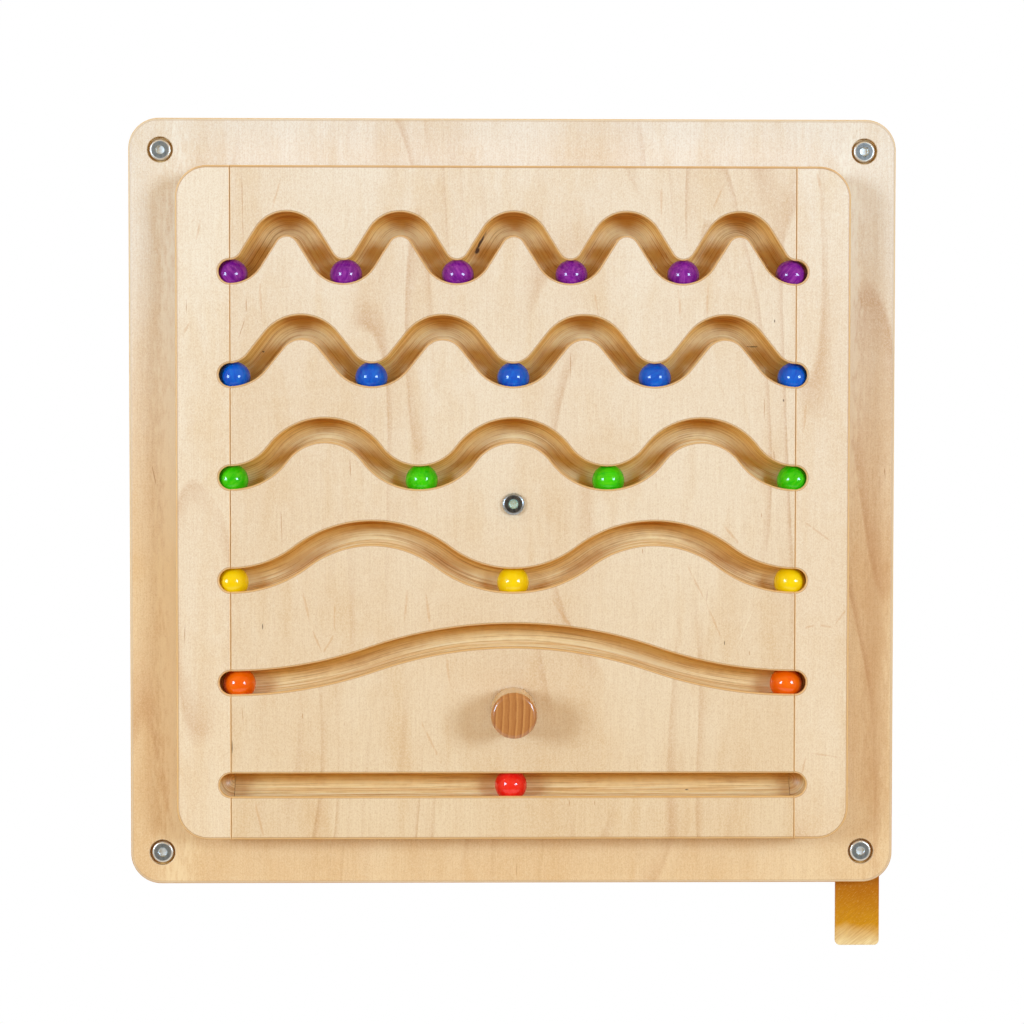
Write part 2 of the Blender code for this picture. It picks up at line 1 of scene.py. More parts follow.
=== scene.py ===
"""Looks of the wall activity panel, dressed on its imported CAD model.

Every piece is drawn as seen from the front, as the CAD is: local X to the right, local Y up and
local Z out of the wall. FRONT turns that into the model's frame, where the front faces -Y.
"""

import math

import bmesh
import bpy
from mathutils import Euler, Matrix, Quaternion, Vector


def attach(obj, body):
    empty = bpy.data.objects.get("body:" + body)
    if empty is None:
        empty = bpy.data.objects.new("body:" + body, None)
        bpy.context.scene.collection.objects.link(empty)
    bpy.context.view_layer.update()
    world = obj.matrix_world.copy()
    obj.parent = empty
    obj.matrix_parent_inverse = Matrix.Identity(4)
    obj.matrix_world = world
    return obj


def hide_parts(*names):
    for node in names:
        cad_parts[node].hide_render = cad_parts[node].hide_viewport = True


MM = 0.001
FRONT = Matrix.Rotation(math.pi / 2, 4, "X")

# Sizes of the CAD model that the pieces share.
SEAT = 0.3 * MM
OVERRUN = 2 * MM
BOARD_SIDE = 600 * MM
BOARD_T = 18 * MM
BOARD_CORNER_R = 24 * MM
BOARD_EDGE_R = 3 * MM
PLATE_SIDE = 518 * MM
PLATE_T = 30 * MM
PLATE_BACK = 24 * MM
PLATE_FRONT = PLATE_BACK + PLATE_T
PLATE_CORNER_R = 24.5 * MM
PLATE_EDGE_R = 2.4 * MM
STRIP_W = 42 * MM
TRACK_SPAN = PLATE_SIDE - 2 * STRIP_W
BALL_D = 25 * MM
SLOT_W = 17.5 * MM
LIP_R = 1.8 * MM
CHANNEL_R = 14.8 * MM
CHANNEL_DEPTH = LIP_R + math.sqrt(CHANNEL_R**2 - (SLOT_W / 2) ** 2)
TOP_TRACK_Y = 177.8 * MM
TRACK_PITCH = 78.9 * MM
WAVE_H = 36.6 * MM
# Each track with how far in mm its balls lie from the middle of their valleys.
TRACKS = (
    {"colour": "purple", "periods": 5, "bend": 18.5 * MM,
     "shifts": {1: 1.3, 2: 0.5, 3: 1.5, 4: 1.1, 5: -2}},
    {"colour": "blue", "periods": 4, "bend": 26 * MM, "shifts": {0: 1.8, 1: -1, 3: 1}},
    {"colour": "green", "periods": 3, "bend": None, "shifts": {1: 1.6, 2: 1.3}},
    {"colour": "yellow", "periods": 2, "bend": None, "shifts": {2: -2}},
    {"colour": "orange", "periods": 1, "bend": None, "shifts": {0: 5.3, 1: -4.9}},
    {"colour": "red", "periods": 0, "bend": None, "shifts": {0: -1.6}},
)
DOWEL_D = 8 * MM
DOWEL_L = 28 * MM
DOWEL_DROP = 26 * MM
DOWEL_TRACKS = (0, 2, 4)
HEAD_D = 17 * MM
HEAD_T = 3.5 * MM
HEAD_EDGE_R = 1.6 * MM
SOCKET_AF = 6 * MM
SOCKET_DEPTH = 2.8 * MM
BOLT_D = 10 * MM
BUSH_WALL = 2 * MM
GLIDE_D = 90 * MM
GLIDE_T = 5.4 * MM
NUT_AF = 17 * MM
NUT_T = 6 * MM
NUT_WASHER_D = 21 * MM
NUT_WASHER_T = 2 * MM
NUT_RECESS_D = 26 * MM
NUT_RECESS_DEPTH = 11 * MM
BOLT_END_INSET = 1.6 * MM
KNOB_Y = -158.4 * MM
KNOB_D = 35 * MM
KNOB_L = 42 * MM
KNOB_FRONT_R = 3.5 * MM
KNOB_SCREW_D = 5 * MM
KNOB_SCREW_HEAD_D = 10 * MM
KNOB_BORE = 20 * MM
FIXING_SPAN = 550 * MM
FIXING_RECESS_D = 20 * MM
FIXING_RECESS_DEPTH = 4.5 * MM
WALL_SCREW_D = 6 * MM
WALL_SCREW_L = 50 * MM
SCREW_TIP = 6 * MM
TAB_W = 35 * MM
TAB_T = 3 * MM
TAB_DROP = 53 * MM
TAB_HIDDEN = 42 * MM
TAB_CORNER_R = 4 * MM
TAB_EDGE_R = 0.6 * MM

# Sizes of the scene's own: the round channels let a ball sit lower than the CAD's flats do.
BALL_SAG = 2.0 * MM
BALL_FLAT = 0.07 * MM
BALL_TURN = 2.4
JOINT_CHAMFER = 0.5 * MM
KNOB_FOOT_R = 1 * MM
SOCKET_EASE = 0.45 * MM
RECESS_RIM = 0.6 * MM
SCREW_PITCH = 2.6 * MM
SCREW_THREAD = 0.9 * MM
SCREW_NECK = 9 * MM
SCREW_POINT = 1.5 * MM
BOLT_PITCH = 1.5 * MM
BOLT_THREAD = 0.75 * MM
BOLT_THREAD_L = 16 * MM
BOLT_POINT = 0.8 * MM
NUT_RECESS_EASE = 0.5 * MM
NUT_EASE = 0.3 * MM
NUT_LEAD = 0.6 * MM
WASHER_EASE = 0.25 * MM
DISC_EASE = 0.5 * MM
VENEER_T = 0.95 * MM
RING_PITCH = 5.2 * MM
FLOOR_Z = -0.8
FLOOR_R = 1.25

# Fineness of the forms.
MERGE = 0.001 * MM
LIP_STEPS = 5
CHANNEL_STEPS = 26
BEND_STEP = math.radians(5)
BEND_LENGTH = 4 * MM
EDGE_STEPS = 5
FINE_STEPS = 64

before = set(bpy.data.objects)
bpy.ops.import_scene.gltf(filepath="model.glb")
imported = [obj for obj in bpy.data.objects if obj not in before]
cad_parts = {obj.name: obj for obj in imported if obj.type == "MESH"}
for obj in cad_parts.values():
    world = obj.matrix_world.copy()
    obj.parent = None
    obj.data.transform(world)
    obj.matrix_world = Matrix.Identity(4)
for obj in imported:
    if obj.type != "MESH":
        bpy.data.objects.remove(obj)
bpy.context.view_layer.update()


# Forms


def at(x=0.0, y=0.0, z=0.0, turn=None):
    place = Matrix.Translation((x, y, z))
    return place @ turn if turn else place


def linked(name, data):
    """A new object in the scene."""
    obj = bpy.data.objects.new(name, data)
    bpy.context.scene.collection.objects.link(obj)
    return obj


def mesh_from(bm, name):
    bmesh.ops.recalc_face_normals(bm, faces=bm.faces)
    mesh = bpy.data.meshes.new(name)
    bm.to_mesh(mesh)
    bm.free()
    return mesh


def arc(centre, radius, start, end, steps):
    """Points on an arc in a profile, both ends included; angles from the radial direction."""
    for i in range(steps + 1):
        angle = start + (end - start) * i / steps
        yield (centre[0] + radius * math.cos(angle), centre[1] + radius * math.sin(angle))


def turned(name, profile, steps=FINE_STEPS, closed=False):
    """A profile of (radius, height) points turned round the Z axis."""
    bm = bmesh.new()
    verts = [bm.verts.new((radius, 0, height)) for radius, height in profile]
    pairs = list(zip(verts, verts[1:])) + ([(verts[-1], verts[0])] if closed else [])
    edges = [bm.edges.new(pair) for pair in pairs]
    bmesh.ops.spin(
        bm, geom=verts + edges, cent=(0, 0, 0), axis=(0, 0, 1), angle=math.tau, steps=steps,
        use_merge=True,
    )
    bmesh.ops.remove_doubles(bm, verts=bm.verts, dist=MERGE)
    return mesh_from(bm, name)


def pin(name, radius, top, bottom, steps=FINE_STEPS):
    return turned(name, [(0, top), (radius, top), (radius, bottom), (0, bottom)], steps)


def eased_ring(name, outer, inner, height, ease, steps=FINE_STEPS):
    """A flat ring from Z = 0 up, with its four edges eased."""
    profile = [
        (outer - ease, height), (outer, height - ease), (outer, ease), (outer - ease, 0),
        (inner + ease, 0), (inner, ease), (inner, height - ease), (inner + ease, height),
    ]
    return turned(name, profile, steps, closed=True)


def threaded(name, profile, pitch, depth, top, bottom, steps=32):
    """A turned profile with a thread of that pitch and depth cut between two heights."""
    fine = []
    for (r0, h0), (r1, h1) in zip(profile, profile[1:]):
        along = bottom <= (h0 + h1) / 2 <= top
        count = max(1, math.ceil(abs(h1 - h0) / (pitch / 8))) if along else 1
        fine += [(r0 + (r1 - r0) * i / count, h0 + (h1 - h0) * i / count) for i in range(count)]
    fine.append(profile[-1])
    bm = bmesh.new()
    bmesh.ops.create_grid(bm, x_segments=steps, y_segments=len(fine) - 1, size=1)
    for vert in bm.verts:
        turn = (vert.co.x + 1) / 2
        radius, height = fine[round((vert.co.y + 1) / 2 * (len(fine) - 1))]
        if bottom < height < top and radius > 2 * depth:
            fade = min(1.0, (top - height) / pitch, (height - bottom) / pitch)
            radius -= depth * fade * abs(2 * ((height / pitch + turn) % 1) - 1) ** 0.7
        angle = math.tau * turn
        vert.co = (radius * math.cos(angle), radius * math.sin(angle), height)
    bmesh.ops.remove_doubles(bm, verts=bm.verts, dist=MERGE)
    return mesh_from(bm, name)


def block(width, height, thickness):
    """A new bmesh that holds a block from Z = 0 up."""
    bm = bmesh.new()
    size = Matrix.Diagonal((width, height, thickness, 1))
    bmesh.ops.create_cube(bm, size=1, matrix=at(z=thickness / 2) @ size)
    return bm


def board(name, width, height, thickness, corner_r, edge_r, chamfered, rounded, steps=16):
    """A board from Z = 0 up: corners rounded where rounded(x, y), joints where chamfered(x)."""
    bm = block(width, height, thickness)
    upright = [
        edge
        for edge in bm.edges
        if abs(edge.verts[0].co.z - edge.verts[1].co.z) > thickness / 2
        and rounded(edge.verts[0].co.x, edge.verts[0].co.y)
    ]
    if upright:
        bmesh.ops.bevel(
            bm, geom=upright, offset=corner_r, segments=steps, profile=0.5, affect="EDGES"
        )
    weight = bm.edges.layers.float.new("bevel_weight_edge")
    for edge in bm.edges:
        a, b = (vert.co for vert in edge.verts)
        if chamfered(a.x) and chamfered(b.x) and abs(a.x - b.x) < SEAT:
            edge[weight] = JOINT_CHAMFER / edge_r
        elif abs(a.z - b.z) < thickness / 2:
            edge[weight] = 1.0
    blank = linked(name, mesh_from(bm, name))
    step = blank.modifiers.new("rounded_edges", "BEVEL")
    step.limit_method = "WEIGHT"
    step.width = edge_r
    step.segments = EDGE_STEPS
    return applied(blank)


def applied(obj):
    """The object's mesh with its modifiers applied; the object is removed."""
    graph = bpy.context.evaluated_depsgraph_get()
    mesh = bpy.data.meshes.new_from_object(obj.evaluated_get(graph))
    mesh.name = obj.name
    bpy.data.objects.remove(obj)
    return mesh


def carved(mesh, *rounds, operation="DIFFERENCE"):
    """The mesh cut by each round of tools in turn, a round being (mesh, matrix) pairs."""
    blank = linked(mesh.name, mesh)
    tools = []
    for tools_round in rounds:
        bm = bmesh.new()
        for tool_mesh, place in tools_round:
            before = set(bm.verts)
            bm.from_mesh(tool_mesh)
            added = [vert for vert in bm.verts if vert not in before]
            bmesh.ops.transform(bm, matrix=place, verts=added)
        tool = linked("cutter", mesh_from(bm, "cutter"))
        step = blank.modifiers.new("cut", "BOOLEAN")
        step.operation = operation
        step.solver = "EXACT"
        step.object = tool
        tools.append(tool)
    done = applied(blank)
    for tool in tools:
        bpy.data.objects.remove(tool)
    return done


def channel_side():
    """Half of the channel's section, from above the eased lip down to the channel's floor."""
    neck = SLOT_W / 2
    neck_angle = math.acos(neck / CHANNEL_R)
    yield (neck + LIP_R, OVERRUN)
    for i in range(LIP_STEPS + 1):
        angle = math.pi / 2 * i / LIP_STEPS
        yield (neck + LIP_R * (1 - math.sin(angle)), LIP_R * (math.cos(angle) - 1))
    for i in range(1, CHANNEL_STEPS // 2 + 1):
        angle = neck_angle - i * (math.pi + 2 * neck_angle) / CHANNEL_STEPS
        yield (CHANNEL_R * math.cos(angle), CHANNEL_R * math.sin(angle) - CHANNEL_DEPTH)


def wave_geometry(track):
    """Half a period's length, the bends' radius and angle, and the straight between two bends."""
    half = TRACK_SPAN / (2 * track["periods"])
    widest = (half**2 + WAVE_H**2) / (4 * WAVE_H)
    bend = widest if track["bend"] is None else min(track["bend"], widest)
    reach = math.hypot(half, WAVE_H - 2 * bend)
    turn = math.atan2(WAVE_H - 2 * bend, half) + math.asin(min(1.0, 2 * bend / reach))
    straight = math.sqrt(max(0.0, reach**2 - 4 * bend**2))
    return half, bend, turn, straight


class Sweep:
    """Carries the channel's section along arcs and straights in the plate's plane."""

    def __init__(self, at_x, at_y):
        side = list(channel_side())
        ring = side + [(-across, height) for across, height in reversed(side[:-1])]
        self.bm = bmesh.new()
        verts = [self.bm.verts.new((at_x, at_y + across, height)) for across, height in ring]
        self.first = [self.bm.edges.new(pair) for pair in zip(verts, verts[1:] + verts[:1])]
        self.last = self.first
        self.heading = 0.0

    def straight(self, length):
        grown = bmesh.ops.extrude_edge_only(self.bm, edges=self.last)["geom"]
        step = Vector((math.cos(self.heading), math.sin(self.heading), 0)) * length
        moved = [g for g in grown if isinstance(g, bmesh.types.BMVert)]
        bmesh.ops.translate(self.bm, verts=moved, vec=step)
        self.last = [g for g in grown if isinstance(g, bmesh.types.BMEdge)]

    def bend(self, centre, radius, turn):
        steps = max(math.ceil(abs(turn) / BEND_STEP), math.ceil(radius * abs(turn) / BEND_LENGTH))
        verts = list({vert for edge in self.last for vert in edge.verts})
        spun = bmesh.ops.spin(
            self.bm, geom=verts + self.last, cent=(*centre, 0), axis=(0, 0, 1), angle=turn,
            steps=steps, use_duplicate=False,
        )
        self.last = [g for g in spun["geom_last"] if isinstance(g, bmesh.types.BMEdge)]
        self.heading += turn

    def close(self, name):
        bmesh.ops.contextual_create(self.bm, geom=self.first)
        bmesh.ops.contextual_create(self.bm, geom=self.last)
        return mesh_from(self.bm, name)


def track_cutter(track, low_y):
    left = -TRACK_SPAN / 2
    sweep = Sweep(left - OVERRUN, low_y)
    sweep.straight(OVERRUN)
    if track["periods"] == 0:
        sweep.straight(TRACK_SPAN)
    else:
        half, bend, turn, straight = wave_geometry(track)
        for period in range(track["periods"]):
            valley = left + 2 * period * half
            sweep.bend((valley, low_y + bend), bend, turn)
            if straight > MM:
                sweep.straight(straight)
            sweep.bend((valley + half, low_y + WAVE_H - bend), bend, -2 * turn)
            if straight > MM:
                sweep.straight(straight)
            sweep.bend((valley + 2 * half, low_y + bend), bend, turn)
    sweep.straight(OVERRUN)
    return sweep.close("track_cutter")


def socket_tools(front, angle):
    """The coned mouth and the hexagon of a socket, for a head whose front is at front."""
    corner_r = SOCKET_AF / 2 / math.cos(math.pi / 6)
    wide, narrow, deep = corner_r + SOCKET_EASE, corner_r - SOCKET_EASE, -2 * SOCKET_EASE
    mouth = turned(
        "socket_mouth", [(0, OVERRUN), (wide, OVERRUN), (wide, 0), (narrow, deep), (0, deep)]
    )
    hexagon = turned(
        "socket",
        [
            (0, OVERRUN), (corner_r, OVERRUN), (corner_r, 0.5 * MM - SOCKET_DEPTH),
            (0, -SOCKET_DEPTH),
        ],
        6,
    )
    place = Matrix.Translation(front)
    return [(mouth, place)], [(hexagon, place @ Matrix.Rotation(angle, 4, "Z"))]


def flat_head():
    """Profile of the flat head, from its front's middle over its round rim to its underside."""
    head_r = HEAD_D / 2
    rim = arc((head_r - HEAD_EDGE_R, HEAD_T - HEAD_EDGE_R), HEAD_EDGE_R, math.pi / 2, 0.08, 8)
    return [(0, HEAD_T), *rim, (head_r, 0.4 * MM), (head_r - 0.2 * MM, 0.05 * MM)]


# Materials


def linear(channel):
    channel /= 255
    return channel / 12.92 if channel <= 0.04045 else ((channel + 0.055) / 1.055) ** 2.4


def colour(red, green, blue):
    """A colour as the eye sees it, 0 to 255 a channel."""
    return (linear(red), linear(green), linear(blue), 1.0)


class Nodes:
    """A node tree. Apart from add and feed, a method gives back the output of a new node."""

    def __init__(self, tree):
        self.tree = tree

    def add(self, kind, settings=None, **inputs):
        node = self.tree.nodes.new(kind)
        for key, value in (settings or {}).items():
            setattr(node, key, value)
        for key, value in inputs.items():
            self.feed(node.inputs[int(key[1:]) if key[1:].isdigit() else key], value)
        return node

    def feed(self, socket, value):
        if isinstance(value, bpy.types.NodeSocket):
            self.tree.links.new(value, socket)
        else:
            socket.default_value = value

    def where(self, output="Object"):
        return self.add("ShaderNodeTexCoord").outputs[output]

    def axes(self, vector):
        return self.add("ShaderNodeSeparateXYZ", Vector=vector).outputs

    def joined(self, x, y, z):
        return self.add("ShaderNodeCombineXYZ", X=x, Y=y, Z=z).outputs[0]

    def math(self, operation, a, b=0.0, c=0.0, clamp=False):
        settings = {"operation": operation, "use_clamp": clamp}
        return self.add("ShaderNodeMath", settings, _0=a, _1=b, _2=c).outputs[0]

    def times(self, a, b):
        return self.math("MULTIPLY", a, b)

    def placed(self, vector, shift=(0, 0, 0), scale=(1, 1, 1), turn=(0, 0, 0)):
        node = self.add(
            "ShaderNodeMapping", Vector=vector, Location=shift, Rotation=turn, Scale=scale
        )
        return node.outputs[0]

    def within(self, vector, centre, size, turn=0.0):
        """Distance from centre in units of size, with the axes turned about Z."""
        node = self.add(
            "ShaderNodeMapping", {"vector_type": "TEXTURE"}, Vector=vector, Location=centre,
            Rotation=(0, 0, turn), Scale=size,
        )
        away = self.add("ShaderNodeVectorMath", {"operation": "LENGTH"}, _0=node.outputs[0])
        return away.outputs["Value"]

    def noise(self, vector, scale=1.0, detail=2.0, roughness=0.5, distortion=0.0):
        node = self.add(
            "ShaderNodeTexNoise", Vector=vector, Scale=scale, Detail=detail, Roughness=roughness,
            Distortion=distortion,
        )
        return node.outputs[0]

    def random(self, value):
        return self.add("ShaderNodeTexWhiteNoise", {"noise_dimensions": "1D"}, W=value).outputs[0]

    def span(self, value, low, high, to_low=0.0, to_high=1.0, smooth=False):
        """value from low..high mapped to to_low..to_high, held at the ends."""
        node = self.add(
            "ShaderNodeMapRange", {"interpolation_type": "SMOOTHSTEP" if smooth else "LINEAR"},
            _0=value, _1=low, _2=high, _3=to_low, _4=to_high,
        )
        return node.outputs[0]

    def ramp(self, value, *stops):
        node = self.add("ShaderNodeValToRGB", _0=value)
        line = node.color_ramp
        while len(line.elements) < len(stops):
            line.elements.new(0.5)
        for element, (spot, tone) in zip(line.elements, stops):
            element.position = spot
            element.color = tone
        return node.outputs[0]

    def mix(self, amount, a, b, blend="MIX"):
        node = self.add(
            "ShaderNodeMix", {"data_type": "RGBA", "blend_type": blend, "clamp_factor": True},
            _0=amount, _6=a, _7=b,
        )
        return node.outputs[2]

    def tinted(self, base, tint):
        return self.mix(1.0, base, tint, "MULTIPLY")


class Surface(Nodes):
    """A material around one shader."""

    def __init__(self, name, **sockets):
        self.material = bpy.data.materials.new(name)
        self.material.use_nodes = True
        super().__init__(self.material.node_tree)
        self.shader = self.tree.nodes["Principled BSDF"]
        self.set(**sockets)

    def set(self, **inputs):
        for key, value in inputs.items():
            self.feed(self.shader.inputs[key.replace("_", " ")], value)

    def bump(self, height, strength, distance):
        node = self.add("ShaderNodeBump", Strength=strength, Distance=distance, Height=height)
        return node.outputs[0]

    def marked(self, base, spot, marks):
        """base with growth lines, flaws and patches of painted light and shade drawn in, ragged at
        their outlines.
        """
        ragged = self.noise(self.placed(spot, scale=(420, 90, 420)), detail=2) if marks else None
        for tone, strength, places in marks:
            near = 10.0
            for x, y, width, length, turn in places:
                centre, size = (x * MM, y * MM, 0), (width * MM, length * MM, 1)
                near = self.math("MINIMUM", near, self.within(spot, centre, size, turn))
            away = self.math("ADD", near, self.span(ragged, 0.3, 0.7, -0.35, 0.35))
            base = self.mix(self.span(away, 0.35, 1.05, strength, 0.0, smooth=True), base, tone)
        return base


# Tones of the birch, of its face and of the plies that a cut shows.
FACE, WARM, PALE = colour(244, 224, 194), colour(234, 204, 160), colour(250, 236, 212)
GROWTH_LINE = colour(198, 142, 82)
FIBRE = colour(196, 148, 96)
PORE = colour(188, 140, 92)
CURL = colour(252, 240, 222)
SPECK_DARK, SPECK_PALE = colour(194, 148, 96), colour(255, 248, 234)
LONG_GRAIN = (colour(255, 232, 172), colour(253, 219, 148))
END_GRAIN = (colour(238, 192, 126), colour(222, 164, 92))
STREAK = colour(206, 146, 74)
TOOL_DARK, TOOL_PALE = colour(160, 96, 32), colour(255, 243, 198)
# Painted shade: tints for the sides that face down and for the channels' floors, deepest low down.
SHADE_TINT_HIGH, SHADE_TINT_LOW, CHANNEL_FLOOR_SHADE = (0.96, 0.72, 0.32, 1), (0.74, 0.50, 0.18, 1), (0.98, 0.85, 0.70, 1)
GLUE = colour(142, 82, 30)
# Painted shade for the plies in the screws' recesses.
RECESS_SHADE = colour(160, 116, 72)
EDGE, EDGE_LINE, EDGE_UPPER = colour(234, 184, 106), colour(164, 104, 40), colour(184, 132, 74)
JOINT = colour(240, 192, 128)


def veneer_face(s, moved):
    """The face's tone with its growth lines, fibres, pores and specks, and three of its noises."""
    clouds = s.noise(s.placed(moved, scale=(9, 3.2, 9)), detail=2.5, roughness=0.55)
    shade = s.noise(s.placed(moved, scale=(38, 9, 38)), detail=3, roughness=0.6, distortion=0.4)
    fibres = s.noise(s.placed(moved, scale=(1100, 26, 1100)), detail=3, roughness=0.65)
    pores = s.noise(s.placed(moved, scale=(2300, 420, 2300)), detail=1, roughness=0.5)
    turned_curl = s.placed(moved, scale=(26, 120, 26), turn=(0, 0, 0.12))
    curl = s.noise(turned_curl, detail=2, roughness=0.5)
    specks = s.noise(s.placed(moved, scale=(1250, 900, 1250)), detail=2, roughness=0.7)
    tone = s.mix(s.span(clouds, 0.34, 0.66, smooth=True), PALE, FACE)
    tone = s.mix(s.span(shade, 0.42, 0.72, 0.0, 0.5, smooth=True), tone, WARM)

    slow = s.placed(moved, scale=(7.5, 1.25, 7.5))
    rings = s.noise(slow, detail=1.5, roughness=0.4, distortion=0.25)
    band = s.math("FRACT", s.times(rings, 15.0))
    black, dim, white = (0, 0, 0, 1), (0.16, 0.16, 0.16, 1), (1, 1, 1, 1)
    line = s.ramp(band, (0.0, black), (0.72, dim), (0.93, white), (1.0, black))
    thread = s.noise(s.placed(moved, shift=(3, 1, 0), scale=(13, 2.6, 13)), detail=2)
    drawn = s.times(line, s.span(thread, 0.44, 0.66, 0.0, 0.5, smooth=True))
    tone = s.mix(drawn, tone, GROWTH_LINE)

    tone = s.mix(s.span(fibres, 0.3, 0.75, 0.0, 0.24), tone, FIBRE)
    tone = s.mix(s.span(pores, 0.60, 0.80, 0.0, 0.30), tone, PORE)
    tone = s.mix(s.span(curl, 0.35, 0.7, 0.0, 0.10), tone, CURL)
    tone = s.mix(s.span(specks, 0.5, 0.78, 0.0, 0.34), tone, SPECK_DARK)
    tone = s.mix(s.span(specks, 0.5, 0.22, 0.0, 0.5), tone, SPECK_PALE)
    return tone, shade, fibres, pores


def crossed_plies(s, moved, layer, nx, ny):
    """Tone of the plies: end grain is darker than long grain, and each layer has its own."""
    number = s.math("FLOOR", layer)
    crossed = s.math("MODULO", number, 2.0)
    end = s.mix(crossed, s.joined(ny, ny, ny), s.joined(nx, nx, nx))
    long_grain = s.mix(s.random(number), *LONG_GRAIN)
    end_grain = s.mix(s.random(s.math("ADD", number, 40.5)), *END_GRAIN)
    streaks = s.noise(s.placed(moved, scale=(160, 160, 900)), detail=3, roughness=0.6)
    ply = s.mix(s.times(end, 0.85), long_grain, end_grain)
    return s.mix(s.span(streaks, 0.35, 0.7, 0.0, 0.3), ply, STREAK)


def cutter_lines(s, ply, x, y, sunk):
    """Fine lines that the cutter leaves along a channel, each at one height on its round wall."""
    across = s.times(s.math("ARCCOSINE", sunk), 21.0)
    along = s.joined(across, s.times(x, 14.0), s.times(y, 14.0))
    lines = s.noise(along, detail=3, roughness=0.7)
    tooled = s.span(sunk, 0.0, 0.1)
    dark = s.times(tooled, s.span(lines, 0.53, 0.68, 0.0, 0.5))
    pale = s.times(tooled, s.span(lines, 0.55, 0.38, 0.0, 0.7))
    return s.mix(pale, s.mix(dark, ply, TOOL_DARK), TOOL_PALE)


def painted_channel_shade(s, ply, y, facing_up, sunk):
    """Painted shade: deeper golden tints on the sides that face down and on the channels' floors,
    most low down.
    """
    low_down = s.math("POWER", s.span(y, 0.2, -0.25), 2.0)
    slope = s.math("MULTIPLY_ADD", low_down, -0.32, facing_up)
    shaded_ply = s.tinted(ply, s.mix(low_down, SHADE_TINT_HIGH, SHADE_TINT_LOW))
    ply = s.mix(s.span(slope, 0.25, -0.55, smooth=True), ply, shaded_ply)
    deep = s.times(low_down, s.span(sunk, 0.6, 0.95))
    return s.mix(deep, ply, s.tinted(ply, CHANNEL_FLOOR_SHADE))


def birch(
    name, thickness, plies, shift, low, high, painted_light_heights=(-0.27, 0.27), marks=(), hollow=(), seats=0,
    joints=(), edge_tone=EDGE, line_depth=0.55,
):
    """Varnished birch plywood as a solid: a vertical-grained face over crossed plies.

    The face is tinted from low to high over the given heights, painted light that makes it paler
    towards the top and more golden low down. marks lie on it and hollow on the plies. seats is how
    far the screws' recesses are from both middle lines, and joints are the X of the lines where the
    plate's pieces meet.
    """
    s = Surface(name, Roughness=0.45, IOR=1.47, Coat_Weight=0.12, Coat_Roughness=0.28)
    spot = s.where()
    normal = s.axes(s.where("Normal"))
    nx, ny = s.math("ABSOLUTE", normal[0]), s.math("ABSOLUTE", normal[1])
    moved = s.placed(spot, shift=shift)
    x, y, z = s.axes(spot)
    cut = s.math("SQRT", s.math("ADD", s.times(nx, nx), s.times(ny, ny)))

    layer = s.times(z, plies / thickness)
    sunk = s.math("SUBTRACT", z, PLATE_T - CHANNEL_DEPTH)
    sunk = s.math("DIVIDE", sunk, -CHANNEL_R, clamp=True)
    ply = crossed_plies(s, moved, layer, nx, ny)
    ply = cutter_lines(s, ply, x, y, sunk)
    # Painted shade on the sides that face down and on the channels' floors.
    ply = painted_channel_shade(s, ply, y, normal[1], sunk)
    from_middle = s.math("ABSOLUTE", s.math("SUBTRACT", s.math("FRACT", layer), 0.5))
    glue = s.times(s.span(from_middle, 0.42, 0.49, 0.0, 0.45), cut)
    ply = s.marked(s.mix(glue, ply, GLUE), spot, hollow)
    # Painted shade: the plies in the screws' recesses are darkened, fading out from 11 to 12 mm off
    # their axes.
    if seats:
        corner = s.joined(s.math("ABSOLUTE", x), s.math("ABSOLUTE", y), 0.0)
        from_seat = s.within(corner, (seats, seats, 0), (1, 1, 1))
        ply = s.mix(s.span(from_seat, 11 * MM, 12 * MM, 0.3, 0.0), ply, RECESS_SHADE)

    veneer, shade, fibres, pores = veneer_face(s, moved)
    veneer = s.marked(veneer, spot, marks)
    # Painted light: the face is paler towards the top and more golden low down.
    veneer = s.tinted(veneer, s.mix(s.span(y, *painted_light_heights), low, high))
    # Where it is cut it shows a brown line at the start of the rounding, then its golden side.
    start = s.times(s.span(cut, 0.06, 0.2), s.span(cut, 0.34, 0.52, 1.0, 0.0))
    veneer = s.mix(s.span(cut, 0.05, 0.7, 0.0, 0.78), veneer, edge_tone)
    veneer = s.mix(s.times(start, line_depth), veneer, EDGE_LINE)
    if joints:
        top = PLATE_SIDE / 2
        upper = s.span(y, top - 4 * MM, top - 3 * MM, 0.0, 0.3)
        upper = s.times(upper, s.span(cut, 0.03, 0.2))
        veneer = s.mix(upper, veneer, EDGE_UPPER)
    for joint in joints:
        aside = s.math("ABSOLUTE", s.math("SUBTRACT", x, joint))
        veneer = s.mix(s.span(aside, 0.45 * MM, 0.6 * MM, 0.8, 0.0), veneer, JOINT)

    blur = 0.05 * MM
    behind = s.span(z, VENEER_T - blur, VENEER_T + blur)
    ahead = s.span(z, thickness - VENEER_T - blur, thickness - VENEER_T + blur, 1.0, 0.0)
    s.set(Base_Color=s.mix(s.times(behind, ahead), veneer, ply))
    s.set(Roughness=s.span(s.math("ADD", shade, pores), 0.7, 1.3, 0.36, 0.5))
    relief = s.math("ADD", s.times(fibres, 0.6), s.times(pores, -0.8))
    s.set(Normal=s.bump(relief, 0.25, 0.05 * MM))
    return s.material


